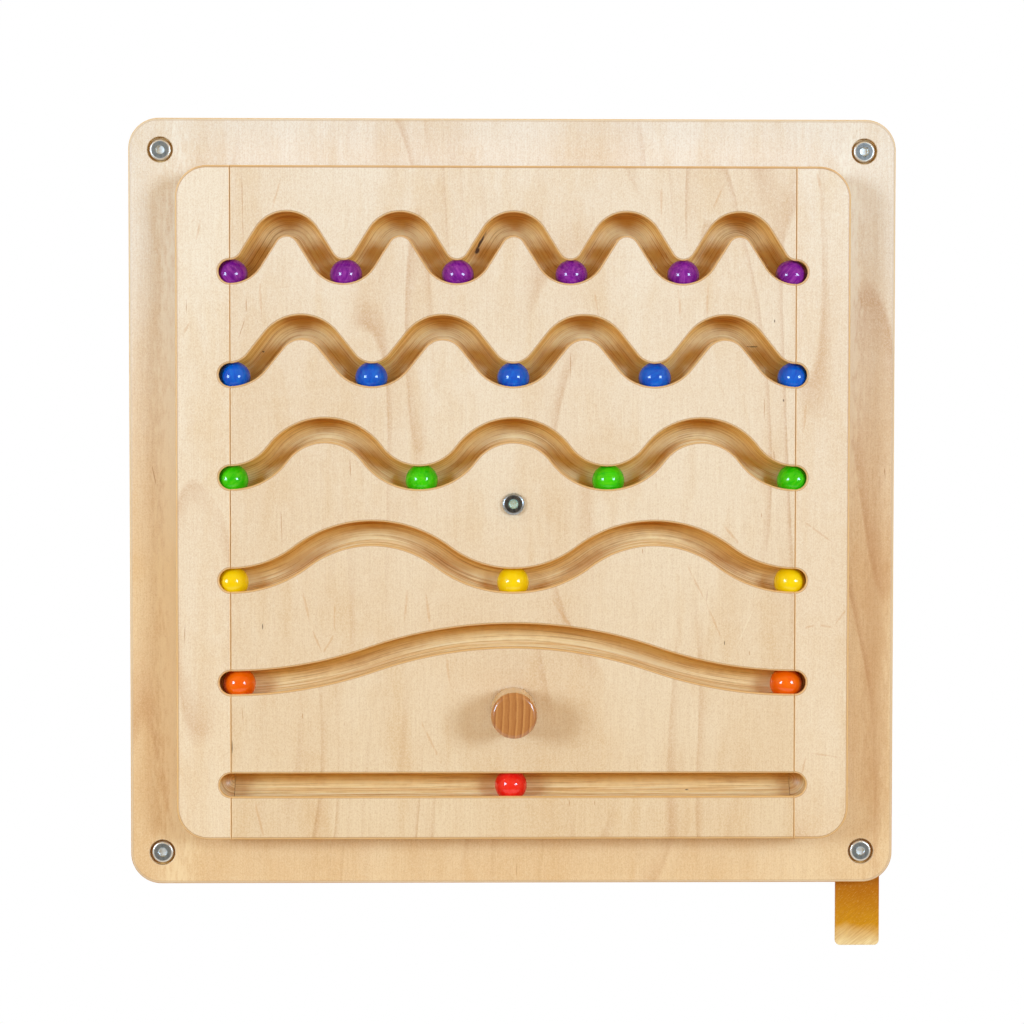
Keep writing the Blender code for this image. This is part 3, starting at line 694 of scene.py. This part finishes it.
def lacquer(name, deep, bright, streak, show):
    """Gloss lacquer over a turned wooden ball, its grain showing through by the amount show."""
    s = Surface(
        name, Roughness=0.3, Specular_IOR_Level=0.05, Coat_Weight=0.9, Coat_Roughness=0.06,
        Coat_IOR=1.5,
    )
    spot = s.where()
    grain = s.noise(s.placed(spot, scale=(420, 420, 60)), detail=4, roughness=0.7)
    leaning = s.placed(spot, scale=(1500, 1500, 130), turn=(0.2, 0.1, 0))
    scratches = s.noise(leaning, detail=2, roughness=0.6)
    patches = s.noise(s.placed(spot, scale=(130, 130, 90)), detail=2)
    tone = s.mix(s.span(patches, 0.35, 0.7), deep, bright)
    tone = s.mix(s.span(grain, 0.42, 0.72, 0.0, show), tone, streak)
    tone = s.mix(s.span(scratches, 0.55, 0.75, 0.0, show * 0.6), tone, streak)
    s.set(Base_Color=tone)
    s.set(Normal=s.bump(grain, 0.08, 0.05 * MM))
    return s.material


def turned_wood(name, dark, mid, light, side):
    """Gloss-varnished wood turned along its grain: rings cross its front and run down its side."""
    s = Surface(name, Roughness=0.35, IOR=1.5, Coat_Weight=0.8, Coat_Roughness=0.07, Coat_IOR=1.5)
    spot = s.where()
    bent = s.noise(s.placed(spot, scale=(45, 45, 12)), detail=2)
    heart = s.within(spot, (-0.26, 0.01, 0), (1, 1, 1e6))
    rings = s.math("MULTIPLY_ADD", bent, 2.0 * MM, heart)
    phase = s.times(s.math("ADD", rings, 2.2 * MM), 1 / RING_PITCH)
    tone = s.ramp(
        s.math("FRACT", phase),
        (0.0, light), (0.16, light), (0.34, mid), (0.6, mid), (0.95, dark), (1.0, light),
    )
    own = s.random(s.math("FLOOR", phase))
    tone = s.mix(s.span(own, 0.0, 1.0, 0.0, 0.55), tone, mid)
    fine = s.noise(s.placed(spot, scale=(900, 160, 60)), detail=2, roughness=0.6)
    tone = s.mix(s.span(fine, 0.45, 0.75, 0.0, 0.35), tone, light)
    pores = s.noise(s.placed(spot, scale=(1700, 1700, 90)), detail=2, roughness=0.6)
    tone = s.mix(s.span(pores, 0.52, 0.78, 0.0, 0.45), tone, dark)
    front = s.math("ABSOLUTE", s.axes(s.where("Normal"))[2])
    tone = s.mix(s.span(front, 0.1, 0.5, 0.75, 0.0), tone, side)
    s.set(Base_Color=tone)
    s.set(Normal=s.bump(pores, 0.06, 0.04 * MM))
    return s.material


def tab_stain_and_painted_light(name):
    """Thin golden stained ply, painted shade at its top and painted light at its foot, grain
    running up to the right.
    """
    s = Surface(name, Roughness=0.42, Specular_IOR_Level=0.15, Coat_Weight=0.1, Coat_Roughness=0.25)
    spot = s.where()
    y = s.axes(spot)[1]
    leaning = s.placed(spot, turn=(0, 0, math.radians(-38)))
    grain = s.noise(s.placed(leaning, scale=(60, 900, 60)), detail=4, roughness=0.65)
    fleck = s.noise(s.placed(leaning, scale=(350, 2400, 350)), detail=2)
    blotch = s.noise(s.placed(spot, scale=(70, 70, 70)), detail=2)
    # Painted shade and light: golden brown at the top, pale towards the foot.
    tone = s.ramp(
        s.span(s.math("MULTIPLY_ADD", blotch, 0.012, y), -0.040, 0.006),
        (0.0, colour(242, 216, 158)), (0.35, colour(206, 142, 14)), (1.0, colour(180, 104, 0)),
    )
    tone = s.mix(s.span(grain, 0.40, 0.72, 0.0, 0.5), tone, colour(172, 100, 10))
    tone = s.mix(s.span(fleck, 0.55, 0.8, 0.0, 0.4), tone, colour(242, 206, 120))
    s.set(Base_Color=tone)
    s.set(Normal=s.bump(grain, 0.15, 0.05 * MM))
    return s.material


def plated_steel(name, tint, stain, rim, socket_glint, rough):
    """Plated steel with faint grooves and patchy plating, with painted highlights on its rim and in
    its socket.
    """
    s = Surface(name, Metallic=0.9, Roughness=rough)
    spot = s.where()
    x, y, z = s.axes(spot)
    away = s.math("SQRT", s.math("ADD", s.times(x, x), s.times(y, y)))
    turned_way = s.joined(s.times(away, 2600.0), 0.0, s.times(z, 900.0))
    rings = s.noise(turned_way, detail=1)
    mottle = s.noise(s.placed(spot, scale=(420, 420, 420)), detail=3, roughness=0.65)
    tone = s.mix(s.span(mottle, 0.38, 0.68), tint, stain)
    edge, mouth = HEAD_D / 2 - HEAD_EDGE_R, SOCKET_AF / 2
    # Painted highlight: the rounded rim is paler.
    tone = s.mix(s.span(away, edge - 0.5 * MM, edge + 0.2 * MM, smooth=True), tone, rim)
    # Painted highlight: the socket and its mouth are bright.
    tone = s.mix(s.span(away, mouth, mouth + 1.1 * MM, 1.0, 0.0, smooth=True), tone, socket_glint)
    s.set(Base_Color=tone)
    s.set(Roughness=s.span(s.math("ADD", mottle, rings), 0.7, 1.3, rough - 0.08, rough + 0.12))
    relief = s.math("ADD", rings, s.times(mottle, 0.7))
    s.set(Normal=s.bump(relief, 0.35, 0.02 * MM))
    return s.material


def plain_wood(name, light, dark):
    s = Surface(name, Roughness=0.6)
    spot = s.where()
    fibres = s.noise(s.placed(spot, scale=(40, 900, 900)), detail=3, roughness=0.6)
    s.set(Base_Color=s.mix(s.span(fibres, 0.35, 0.7), light, dark))
    s.set(Normal=s.bump(fibres, 0.2, 0.05 * MM))
    return s.material


def moulded(name, light, dark, rough):
    s = Surface(name, Roughness=rough)
    grain = s.noise(s.where(), scale=700.0, detail=3)
    s.set(Base_Color=s.mix(s.span(grain, 0.3, 0.7), light, dark))
    s.set(Normal=s.bump(grain, 0.1, 0.03 * MM))
    return s.material


def dress(name, mesh, body, nodes, material, place, sharp=32):
    """Puts a finished mesh in place of CAD nodes; place is in the front frame."""
    mesh.materials.clear()
    mesh.materials.append(material)
    mesh.shade_smooth()
    mesh.set_sharp_from_angle(angle=math.radians(sharp))
    obj = linked(name, mesh)
    obj.matrix_world = FRONT @ place
    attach(obj, body)
    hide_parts(*nodes)
    even = obj.modifiers.new("even_shading", "WEIGHTED_NORMAL")
    even.keep_sharp = True
    return obj


# The board on the wall


def build_board():
    board_blank = board(
        "wall_board", BOARD_SIDE, BOARD_SIDE, BOARD_T, BOARD_CORNER_R, BOARD_EDGE_R,
        lambda x: False, lambda x, y: True,
    )
    recess_r, screw_r = FIXING_RECESS_D / 2, WALL_SCREW_D / 2 + SEAT
    mouth_r = recess_r + RECESS_RIM
    fixing = turned(
        "fixing_bore",
        [
            (0, OVERRUN), (mouth_r, OVERRUN),
            *arc((mouth_r, -RECESS_RIM), RECESS_RIM, math.pi / 2, math.pi, 4),
            (recess_r, -FIXING_RECESS_DEPTH), (screw_r, -FIXING_RECESS_DEPTH),
            (screw_r, -BOARD_T - OVERRUN), (0, -BOARD_T - OVERRUN),
        ],
    )
    half = FIXING_SPAN / 2
    corners = [(x, y) for y in (half, -half) for x in (-half, half)]
    bolt_r, nut_r = BOLT_D / 2 + SEAT, NUT_RECESS_D / 2
    wide = nut_r + NUT_RECESS_EASE
    bolt_way = turned(
        "bolt_way",
        [
            (0, BOARD_T + OVERRUN), (bolt_r, BOARD_T + OVERRUN), (bolt_r, NUT_RECESS_DEPTH),
            (nut_r, NUT_RECESS_DEPTH), (nut_r, NUT_RECESS_EASE), (wide, 0), (wide, -OVERRUN),
            (0, -OVERRUN),
        ],
    )
    rebate_top = -BOARD_SIDE / 2 + TAB_HIDDEN + SEAT
    rebate_h = TAB_HIDDEN + SEAT + OVERRUN
    rebate = block(TAB_W + 2 * SEAT, rebate_h, TAB_T + 2 * SEAT + OVERRUN)
    rebate = mesh_from(rebate, "tab_rebate")
    board_mesh = carved(
        board_blank,
        [(fixing, at(x, y, BOARD_T)) for x, y in corners] + [(bolt_way, at())],
        [(rebate, at(half, rebate_top - rebate_h / 2, -OVERRUN))],
    )
    dress(
        "wall_board_ply", board_mesh, "wall_board", ["base_panel"], BIRCH_BOARD, at()
    )

    screw_profile = flat_head() + [
        (WALL_SCREW_D / 2 - 0.1 * MM, 0.05 * MM),
        (WALL_SCREW_D / 2, -0.2 * MM),
        (WALL_SCREW_D / 2, SCREW_TIP - WALL_SCREW_L),
        (0, -WALL_SCREW_L),
    ]
    names = ("top_left", "top_right", "bottom_left", "bottom_right")
    for corner, (x, y) in zip(names, corners):
        node = "wall_screw_" + corner
        blank = threaded(
            node, screw_profile, SCREW_PITCH, SCREW_THREAD, -SCREW_NECK, SCREW_POINT - WALL_SCREW_L
        )
        # Each socket stays at the angle where its screw came tight.
        angle = math.radians(20 + 25 * (math.copysign(1, x) + 2 * math.copysign(1, y)))
        mesh = carved(blank, *socket_tools((0, 0, HEAD_T), angle))
        place = at(x, y, BOARD_T - FIXING_RECESS_DEPTH + SEAT)
        dress(node + "_steel", mesh, "wall_board", [node], STEEL_SCREW, place)

    tab_h = TAB_HIDDEN + TAB_DROP
    tab = board(
        "tab", TAB_W, tab_h, TAB_T, TAB_CORNER_R, TAB_EDGE_R,
        lambda x: False, lambda x, y: y < 0, 10,
    )
    hole = pin("tab_hole", screw_r, TAB_T + OVERRUN, -OVERRUN)
    tab_mid = -BOARD_SIDE / 2 + TAB_HIDDEN - tab_h / 2
    tab = carved(tab, [(hole, at(0, -half - tab_mid))])
    dress(
        "label_tab_ply", tab, "wall_board", ["label_tab"], TAB_YELLOW,
        at(half, tab_mid, SEAT),
    )


def build_pivot():
    end = BOLT_END_INSET - PLATE_FRONT - SEAT
    shank = flat_head() + [
        (BOLT_D / 2 + 0.2 * MM, 0.05 * MM),
        (BOLT_D / 2, -0.1 * MM),
        (BOLT_D / 2, end + BOLT_POINT),
        (BOLT_D / 2 - BOLT_POINT, end),
        (0, end),
    ]
    blank = threaded(
        "pivot_bolt", shank, BOLT_PITCH, BOLT_THREAD, end + BOLT_THREAD_L, end + 0.2 * MM, steps=48
    )
    bolt = carved(blank, *socket_tools((0, 0, HEAD_T), math.radians(15)))
    dress(
        "pivot_bolt_steel", bolt, "wall_board", ["pivot_bolt"], STEEL_BOLT,
        at(z=PLATE_FRONT + SEAT),
    )

    washer_back = NUT_RECESS_DEPTH - SEAT - NUT_WASHER_T
    inner = BOLT_D / 2 + SEAT
    washer = eased_ring("pivot_washer", NUT_WASHER_D / 2, inner, NUT_WASHER_T, WASHER_EASE)
    dress(
        "pivot_washer_steel", washer, "wall_board", ["pivot_washer"], STEEL_SCREW,
        at(z=washer_back),
    )
    corner_r = NUT_AF / 2 / math.cos(math.pi / 6)
    prism = pin("pivot_nut", corner_r, NUT_T, 0, 6)
    flat_r = NUT_AF / 2 - NUT_EASE
    slope = (corner_r - flat_r) * math.tan(math.radians(30))
    barrel = turned(
        "nut_barrel",
        [
            (0, NUT_T), (flat_r, NUT_T), (corner_r, NUT_T - slope), (corner_r, slope),
            (flat_r, 0), (0, 0),
        ],
    )
    nut = carved(prism, [(barrel, at())], operation="INTERSECT")
    wide = inner + NUT_LEAD
    way = turned(
        "nut_bore",
        [
            (0, NUT_T + OVERRUN), (wide, NUT_T + OVERRUN), (wide, NUT_T), (inner, NUT_T - NUT_LEAD),
            (inner, NUT_LEAD), (wide, 0), (wide, -OVERRUN), (0, -OVERRUN),
        ],
    )
    nut = carved(nut, [(way, at())])
    dress(
        "pivot_nut_steel", nut, "wall_board", ["pivot_nut"], STEEL_BOLT,
        at(z=washer_back - SEAT - NUT_T),
    )

    disc = eased_ring("glide_disc", GLIDE_D / 2, inner, GLIDE_T, DISC_EASE, 96)
    dress(
        "glide_disc_nylon", disc, "wall_board", ["glide_disc"], NYLON,
        at(z=BOARD_T + SEAT),
    )


# The turning plate


def build_plate():
    joint_x = TRACK_SPAN / 2
    panel_w = TRACK_SPAN - SEAT
    lying = Matrix.Rotation(math.pi / 2, 4, "Y")
    dowel_end = DOWEL_L / 2 + SEAT
    dowel_hole = pin("dowel_hole", DOWEL_D / 2 + SEAT, dowel_end, -dowel_end, 32)
    dowel_ys = [TOP_TRACK_Y - i * TRACK_PITCH - DOWEL_DROP for i in DOWEL_TRACKS]
    lows = [TOP_TRACK_Y - i * TRACK_PITCH for i in range(len(TRACKS))]

    bore = pin("bush_bore", BOLT_D / 2 + 2 * SEAT + BUSH_WALL, PLATE_T + OVERRUN, -OVERRUN)
    pilot_r = KNOB_SCREW_D / 2 + SEAT
    sink_r = KNOB_SCREW_HEAD_D / 2 + SEAT * math.sqrt(2)
    sink_z = 0.7 * MM
    knob_way = turned(
        "knob_screw_way",
        [
            (0, PLATE_T + OVERRUN), (pilot_r, PLATE_T + OVERRUN),
            (pilot_r, sink_z + sink_r - pilot_r), (sink_r, sink_z), (sink_r, -OVERRUN),
            (0, -OVERRUN),
        ],
    )
    tools = [(track_cutter(track, low_y), at(z=PLATE_T)) for track, low_y in zip(TRACKS, lows)]
    tools += [(bore, at()), (knob_way, at(y=KNOB_Y))]
    for x in (-joint_x, joint_x):
        tools += [(dowel_hole, at(x, y, PLATE_T / 2, lying)) for y in dowel_ys]
    panel = board(
        "track_panel", panel_w, PLATE_SIDE, PLATE_T, 0, PLATE_EDGE_R,
        lambda x: abs(x) > panel_w / 2 - SEAT, lambda x, y: False,
    )
    dress(
        "track_panel_ply", carved(panel, tools), "turning_plate", ["track_panel"],
        BIRCH_PANEL, at(z=PLATE_BACK),
    )

    strip_w = STRIP_W - SEAT / 2
    side = list(channel_side())
    pocket = turned("end_pocket", [(0, side[0][1]), *side[:-1], (0, side[-1][1])])
    for name, sign, material in (("left", -1, BIRCH_LEFT), ("right", 1, BIRCH_RIGHT)):
        middle = sign * (PLATE_SIDE - strip_w) / 2
        joint = sign * joint_x - middle
        strip = board(
            name + "_strip", strip_w, PLATE_SIDE, PLATE_T, PLATE_CORNER_R, PLATE_EDGE_R,
            lambda x: -sign * x > strip_w / 2 - SEAT, lambda x, y: sign * x > 0,
        )
        tools = [(pocket, at(joint, low_y, PLATE_T)) for low_y in lows]
        tools += [(dowel_hole, at(joint, y, PLATE_T / 2, lying)) for y in dowel_ys]
        dress(
            name + "_strip_ply", carved(strip, tools), "turning_plate", [name + "_strip"],
            material, at(middle, 0, PLATE_BACK),
        )


def build_knob():
    radius, pilot = KNOB_D / 2, KNOB_SCREW_D / 2 + SEAT
    front_r, foot_r = KNOB_FRONT_R, KNOB_FOOT_R
    front = arc((radius - front_r, KNOB_L - front_r), front_r, math.pi / 2, 0, 12)
    foot = arc((radius - foot_r, foot_r), foot_r, 0, -math.pi / 2, 4)
    knob = turned(
        "knob",
        [(0, KNOB_L), *front, *foot, (pilot, 0), (pilot, KNOB_BORE), (0, KNOB_BORE + 1 * MM)],
        96,
    )
    dress(
        "knob_wood", knob, "turning_plate", ["knob"], KNOB_WOOD,
        at(0, KNOB_Y, PLATE_FRONT + SEAT),
    )


def ball_mesh(name):
    """A ball with the two small flats where it was held for turning."""
    bm = bmesh.new()
    bmesh.ops.create_icosphere(bm, subdivisions=5, radius=BALL_D / 2)
    flat = BALL_D / 2 - BALL_FLAT
    for vert in bm.verts:
        vert.co.z = max(-flat, min(flat, vert.co.z))
    return mesh_from(bm, name)


def build_balls():
    """Each ball low in its valley, off the middle by its shift, and turned its own way."""
    turn = 0.0
    for i, track in enumerate(TRACKS):
        low_y = TOP_TRACK_Y - i * TRACK_PITCH
        for count in range(track["periods"] + 1):
            name = f"{track['colour']}_ball_{count + 1}"
            shift = track["shifts"].get(count, 0) * MM
            if track["periods"] == 0:
                x, y = shift, low_y - BALL_SAG
            else:
                half, bend, _, _ = wave_geometry(track)
                x = -TRACK_SPAN / 2 + 2 * half * count + shift
                y = low_y + bend - math.sqrt((bend + BALL_SAG) ** 2 - shift**2)
            turn += BALL_TURN
            lie = Euler((turn, 0.7 * turn, 1.9 * turn)).to_matrix().to_4x4()
            dress(
                name + "_lacquered", ball_mesh(name), name, [name],
                LACQUER[track["colour"]], at(x, y, PLATE_FRONT - CHANNEL_DEPTH, lie), sharp=60,
            )


def build_stage():
    """A plain pale floor well below the panel, which hangs at a child's height, in a white room."""
    bm = bmesh.new()
    bmesh.ops.create_circle(bm, cap_ends=True, segments=96, radius=FLOOR_R)
    floor = linked("floor", mesh_from(bm, "floor"))
    floor.location = (0, 0, FLOOR_Z)
    s = Surface("floor_paint", Roughness=0.8)
    grain = s.noise(s.where(), scale=60.0, detail=3)
    s.set(Base_Color=s.mix(s.span(grain, 0.3, 0.7), *FLOOR_TONES))
    floor.data.materials.append(s.material)
    # Seen directly or mirrored the floor is mostly white, and a part of it keeps the shadow.
    path = s.add("ShaderNodeLightPath").outputs
    seen = s.math("MAXIMUM", path["Is Camera Ray"], path["Is Transmission Ray"])
    seen = s.math("MAXIMUM", seen, path["Is Glossy Ray"])
    white = s.add("ShaderNodeEmission", Color=WHITE, Strength=1.0).outputs[0]
    whitened = s.add(
        "ShaderNodeMixShader", _0=s.times(seen, 0.8), _1=s.shader.outputs[0], _2=white
    )
    s.feed(s.tree.nodes["Material Output"].inputs["Surface"], whitened.outputs[0])


def build_room():
    """The room's light by direction, and a white backdrop where it is seen or mirrored."""
    world = bpy.data.worlds.new("studio")
    world.use_nodes = True
    bpy.context.scene.world = world
    w = Nodes(world.node_tree)
    _, back, up = w.axes(w.where("Generated"))
    # The fill comes mostly from the front, less from below, and plain from behind the panel.
    room = w.mix(w.span(back, -0.1, -1.0, smooth=True), FILL_SIDE, FILL_FRONT)
    room = w.mix(w.span(back, 0.0, 0.3, smooth=True), room, FILL_BACK)
    fill = w.tree.nodes["Background"]
    w.feed(fill.inputs["Color"], room)
    w.feed(fill.inputs["Strength"], w.span(up, -0.4, 0.1, FILL_BELOW))
    # The backdrop lies behind the panel, so glossy rays that leave backwards meet its white.
    path = w.add("ShaderNodeLightPath").outputs
    behind = w.math("GREATER_THAN", back, 0.0)
    seen = w.times(behind, path["Is Glossy Ray"])
    seen = w.math("MAXIMUM", seen, path["Is Camera Ray"])
    seen = w.math("MAXIMUM", seen, path["Is Transmission Ray"])
    white = w.add("ShaderNodeBackground", Color=WHITE).outputs[0]
    shown = w.add("ShaderNodeMixShader", _0=seen, _1=fill.outputs[0], _2=white)
    w.feed(w.tree.nodes["World Output"].inputs["Surface"], shown.outputs[0])


def build_light(name, place, width, height, power):
    """A soft box aimed at the panel's middle."""
    lamp = bpy.data.lights.new(name, "AREA")
    lamp.shape = "RECTANGLE"
    lamp.size = width
    lamp.size_y = height
    lamp.energy = power
    lamp.color = LIGHT_TINT
    obj = linked(name, lamp)
    obj.location = place
    obj.rotation_mode = "QUATERNION"
    obj.rotation_quaternion = (-Vector(place)).to_track_quat("-Z", "Y")
    obj.visible_camera = False


def build_camera():
    """The photograph's viewpoint, found from the edges, the screws and the knob."""
    camera = linked("camera", bpy.data.cameras.new("camera"))
    camera.data.sensor_width = 36
    camera.data.lens = CAMERA_LENS
    camera.location = CAMERA_PLACE
    camera.rotation_mode = "QUATERNION"
    level = Vector(CAMERA_AIM).to_track_quat("-Z", "Y")
    camera.rotation_quaternion = level @ Quaternion((0, 0, 1), CAMERA_ROLL)
    bpy.context.scene.camera = camera


WHITE = (1, 1, 1, 1)
FLOOR_TONES = ((0.78, 0.73, 0.64, 1), (0.75, 0.70, 0.61, 1))
FILL_FRONT = (0.54, 0.34, 0.12, 1)
FILL_SIDE = (0.80, 0.56, 0.24, 1)
FILL_BACK = (0.96, 0.92, 0.85, 1)
FILL_BELOW = 0.5
LIGHT_TINT = (0.53, 0.745, 1.0)
CAMERA_LENS = 78.7
CAMERA_PLACE = (-0.02655, -1.77254, 0.04599)
CAMERA_AIM = (0.01482, 0.99943, -0.03035)
CAMERA_ROLL = 0.0009

# Growth lines, knots and small flaws of each face, and on the board painted light and shade: tone,
# strength and spots as (centre X, centre Y, half width, half length, turn) in mm from the middle
# of the piece.
PANEL_MARKS = (
    (colour(190, 124, 58), 0.55, (
        (-207.1, 225.2, 0.45, 29.6, 0.02), (-204.4, 151.3, 0.45, 6.8, 0.03),
        (-208.1, 133.4, 0.45, 12.4, -0.32), (-125.3, 30.2, 0.5, 8.0, 0.05),
        (-208.2, -161.3, 0.6, 10.4, 0.07), (-177.9, -17.4, 0.4, 20.3, 0.04),
        (43.7, 103.9, 0.4, 12.6, 0.0), (192.9, 73.8, 0.4, 9.1, 0.0),
        (99.4, -36.2, 0.5, 3.0, 0.0), (200.4, 37.7, 0.5, 4.5, 0.1),
        (149.2, -70.5, 0.5, 4.9, -0.08), (-162.1, -162.9, 0.4, 2.6, 0.0),
        (-129.8, -169.5, 0.4, 2.2, 0.0), (43.5, -230.8, 0.5, 3.0, 0.0),
        (62.8, -230.8, 0.4, 2.2, 0.0), (142.5, -256.1, 0.4, 2.6, 0.0),
        (190.9, -8.4, 0.5, 2.2, 0.0), (182.1, -114.9, 0.4, 2.2, 0.0),
    )),
    (colour(214, 158, 92), 0.32, (
        (-181.1, 237.0, 1.1, 16.9, -0.28), (-193.5, 158.6, 1.3, 18.7, 0.08),
        (-158.9, -79.7, 1.2, 15.2, 0.21), (-137.4, -87.4, 1.0, 13.4, 0.0),
        (-142.0, -107.8, 1.0, 9.0, -0.56), (-151.2, -104.7, 1.0, 11.7, 0.42),
        (141.4, -62.0, 1.0, 16.7, 0.47), (155.8, -92.8, 1.0, 18.0, 0.41),
        (-195.3, -243.2, 1.0, 15.5, 0.25), (113.2, 229.4, 1.2, 14.0, 0.0),
        (157.3, 236.4, 1.2, 12.8, -0.41), (63.6, 153.7, 1.1, 10.4, 0.16),
        (127.2, 153.0, 1.2, 12.6, 0.07), (148.7, 155.4, 1.2, 11.8, -0.06),
        (-82.5, -80.1, 1.3, 13.8, -0.09), (-65.6, -80.4, 1.2, 14.3, 0.14),
        (-50.2, -128.2, 1.4, 15.9, 0.12), (-63.7, -182.3, 1.3, 17.6, 0.46),
        (166.7, -22.3, 1.3, 12.9, 0.7), (41.0, -89.7, 1.5, 19.1, 0.61),
    )),
    (colour(72, 38, 16), 0.85, (
        (-192.6, -94.3, 0.5, 2.6, 0.0), (207.5, 79.6, 0.6, 1.1, 0.0),
        (200.3, 140.5, 0.5, 1.4, 0.0), (162.8, -107.1, 0.5, 2.2, 0.0),
        (-216.3, -187.9, 0.7, 7.6, 0.0), (-77.4, 199.6, 0.8, 3.4, 0.52),
    )),
    (colour(255, 246, 224), 0.55, (
        (179.3, -93.6, 0.35, 25.7, -0.42), (186.2, -70.5, 0.3, 4.6, -0.46),
    )),
)
HOLLOW_MARKS = (
    (colour(40, 18, 8), 0.92, (
        (-25.0, 202.9, 1.2, 10.1, -0.53), (-27.7, 196.4, 1.7, 3.1, -0.28),
        (-194.4, 117.6, 0.8, 1.3, -1.57), (186.5, 122.0, 0.5, 5.7, -1.57),
        (136.0, -224.5, 0.7, 1.9, 1.57),
    )),
)
LEFT_MARKS = (
    (colour(176, 112, 52), 0.6, (
        (-12.0, 150.8, 0.4, 7.2, 0.0), (-14.1, -98.9, 0.4, 16.5, -0.03),
    )),
    (colour(208, 150, 84), 0.3, (
        (-12.1, 134.1, 1.0, 7.1, -0.47), (-2.7, 208.8, 1.2, 8.1, -0.2),
    )),
)
RIGHT_MARKS = (
    (colour(208, 150, 84), 0.3, (
        (-9.6, -94.4, 1.0, 5.9, -1.29), (2.0, -94.0, 1.0, 6.6, 1.39),
        (14.3, -87.1, 1.0, 10.5, -0.65), (-2.3, -22.3, 1.0, 16.6, 0.94),
        (1.7, -193.8, 0.9, 13.6, 1.42), (-13.7, -202.7, 0.9, 11.4, -0.21),
        (-4.4, 248.0, 1.2, 8.1, 0.2), (-13.9, 68.1, 1.2, 11.9, -0.1),
    )),
)
BOARD_MARKS_AND_PAINTED_LIGHT = (
    # Painted light: the margins beside the plate are paler, lifting the plate's shadow on them.
    (colour(255, 244, 220), 0.6, (
        (-263, -60, 20, 420, 0), (262, 130, 14, 190, 0),
    )),
    # Painted shade: the lower part of the right margin is darker.
    (colour(196, 140, 84), 0.2, (
        (286, -130, 13, 200, 0),
    )),
    # Growth lines and streaks in the board's face.
    (colour(180, 118, 58), 0.55, (
        (-280.5, 21.5, 0.5, 9.5, 0.21), (3.3, -289.6, 0.5, 7.8, 0.0),
        (292.2, 24.7, 0.5, 2.7, 0.01),
    )),
)

BIRCH_BOARD = birch(
    "birch_board", BOARD_T, 13, (0.31, 0.12, 0.0), (0.93, 0.78, 0.56, 1), (0.97, 1.01, 1.08, 1),
    painted_light_heights=(-0.05, 0.2), marks=BOARD_MARKS_AND_PAINTED_LIGHT, seats=FIXING_SPAN / 2,
    edge_tone=colour(227, 208, 176), line_depth=0.25,
)
BIRCH_PANEL = birch(
    "birch_panel", PLATE_T, 21, (1.7, 0.8, 0.3), (0.87, 0.76, 0.60, 1), (0.98, 0.98, 0.99, 1),
    marks=PANEL_MARKS, hollow=HOLLOW_MARKS, joints=(-TRACK_SPAN / 2, TRACK_SPAN / 2),
)
BIRCH_LEFT = birch(
    "birch_strip_left", PLATE_T, 21, (2.9, 1.3, 0.5), (0.94, 0.87, 0.76, 1), (1.0, 1.0, 1.0, 1),
    marks=LEFT_MARKS, joints=(STRIP_W / 2,),
)
BIRCH_RIGHT = birch(
    "birch_strip_right", PLATE_T, 21, (4.2, 2.1, 0.7), (0.92, 0.84, 0.72, 1), (1.0, 1.02, 1.06, 1),
    marks=RIGHT_MARKS, joints=(-STRIP_W / 2,),
)
KNOB_WOOD = turned_wood(
    "knob_wood", colour(150, 84, 34), colour(182, 116, 58), colour(206, 142, 78),
    colour(218, 176, 88),
)
TAB_YELLOW = tab_stain_and_painted_light("tab_yellow")
# Each steel's last two colours are painted highlights, on the rim and in the socket.
STEEL_SCREW = plated_steel(
    "steel_screw", colour(150, 160, 166), colour(116, 122, 124), colour(232, 230, 222),
    colour(224, 232, 234), 0.36,
)
STEEL_BOLT = plated_steel(
    "steel_bolt", colour(108, 114, 122), colour(50, 54, 60), colour(176, 184, 192),
    colour(220, 255, 255), 0.28,
)
BRASS_TONE = colour(198, 160, 92)
BRASS = plated_steel("brass_bush", BRASS_TONE, colour(170, 128, 66), BRASS_TONE, BRASS_TONE, 0.35)
NYLON = moulded("nylon_disc", colour(236, 234, 226), colour(222, 219, 208), 0.45)
BEECH = plain_wood("beech_dowel", colour(214, 176, 132), colour(190, 148, 102))
LACQUERS = (
    ("purple", (108, 0, 128), (130, 14, 148), (206, 96, 196), 0.4),
    ("blue", (0, 72, 188), (0, 96, 212), (0, 140, 226), 0.4),
    ("green", (24, 186, 0), (56, 210, 0), (140, 232, 40), 0.35),
    ("yellow", (250, 204, 0), (254, 216, 0), (255, 230, 60), 0.2),
    ("orange", (244, 92, 0), (250, 108, 0), (252, 150, 50), 0.2),
    ("red", (240, 28, 18), (250, 42, 28), (255, 96, 76), 0.2),
)
LACQUER = {
    name: lacquer(name + "_lacquer", colour(*deep), colour(*bright), colour(*streak), show)
    for name, deep, bright, streak, show in LACQUERS
}

build_board()
build_pivot()
build_plate()
build_knob()
build_balls()
for node, material in (("pivot_bush", BRASS), ("knob_screw", STEEL_SCREW)):
    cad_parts[node].data.materials[0] = material
for node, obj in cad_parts.items():
    if node.startswith("strip_dowel"):
        obj.data.materials[0] = BEECH

bpy.context.scene.view_settings.view_transform = "Standard"
build_stage()
build_room()
build_light("left_box", (-2.9, -3.2, 0.62), 1.2, 1.2, 112)
build_light("right_box", (2.5, -3.3, 0.66), 1.2, 1.0, 102)
build_camera()
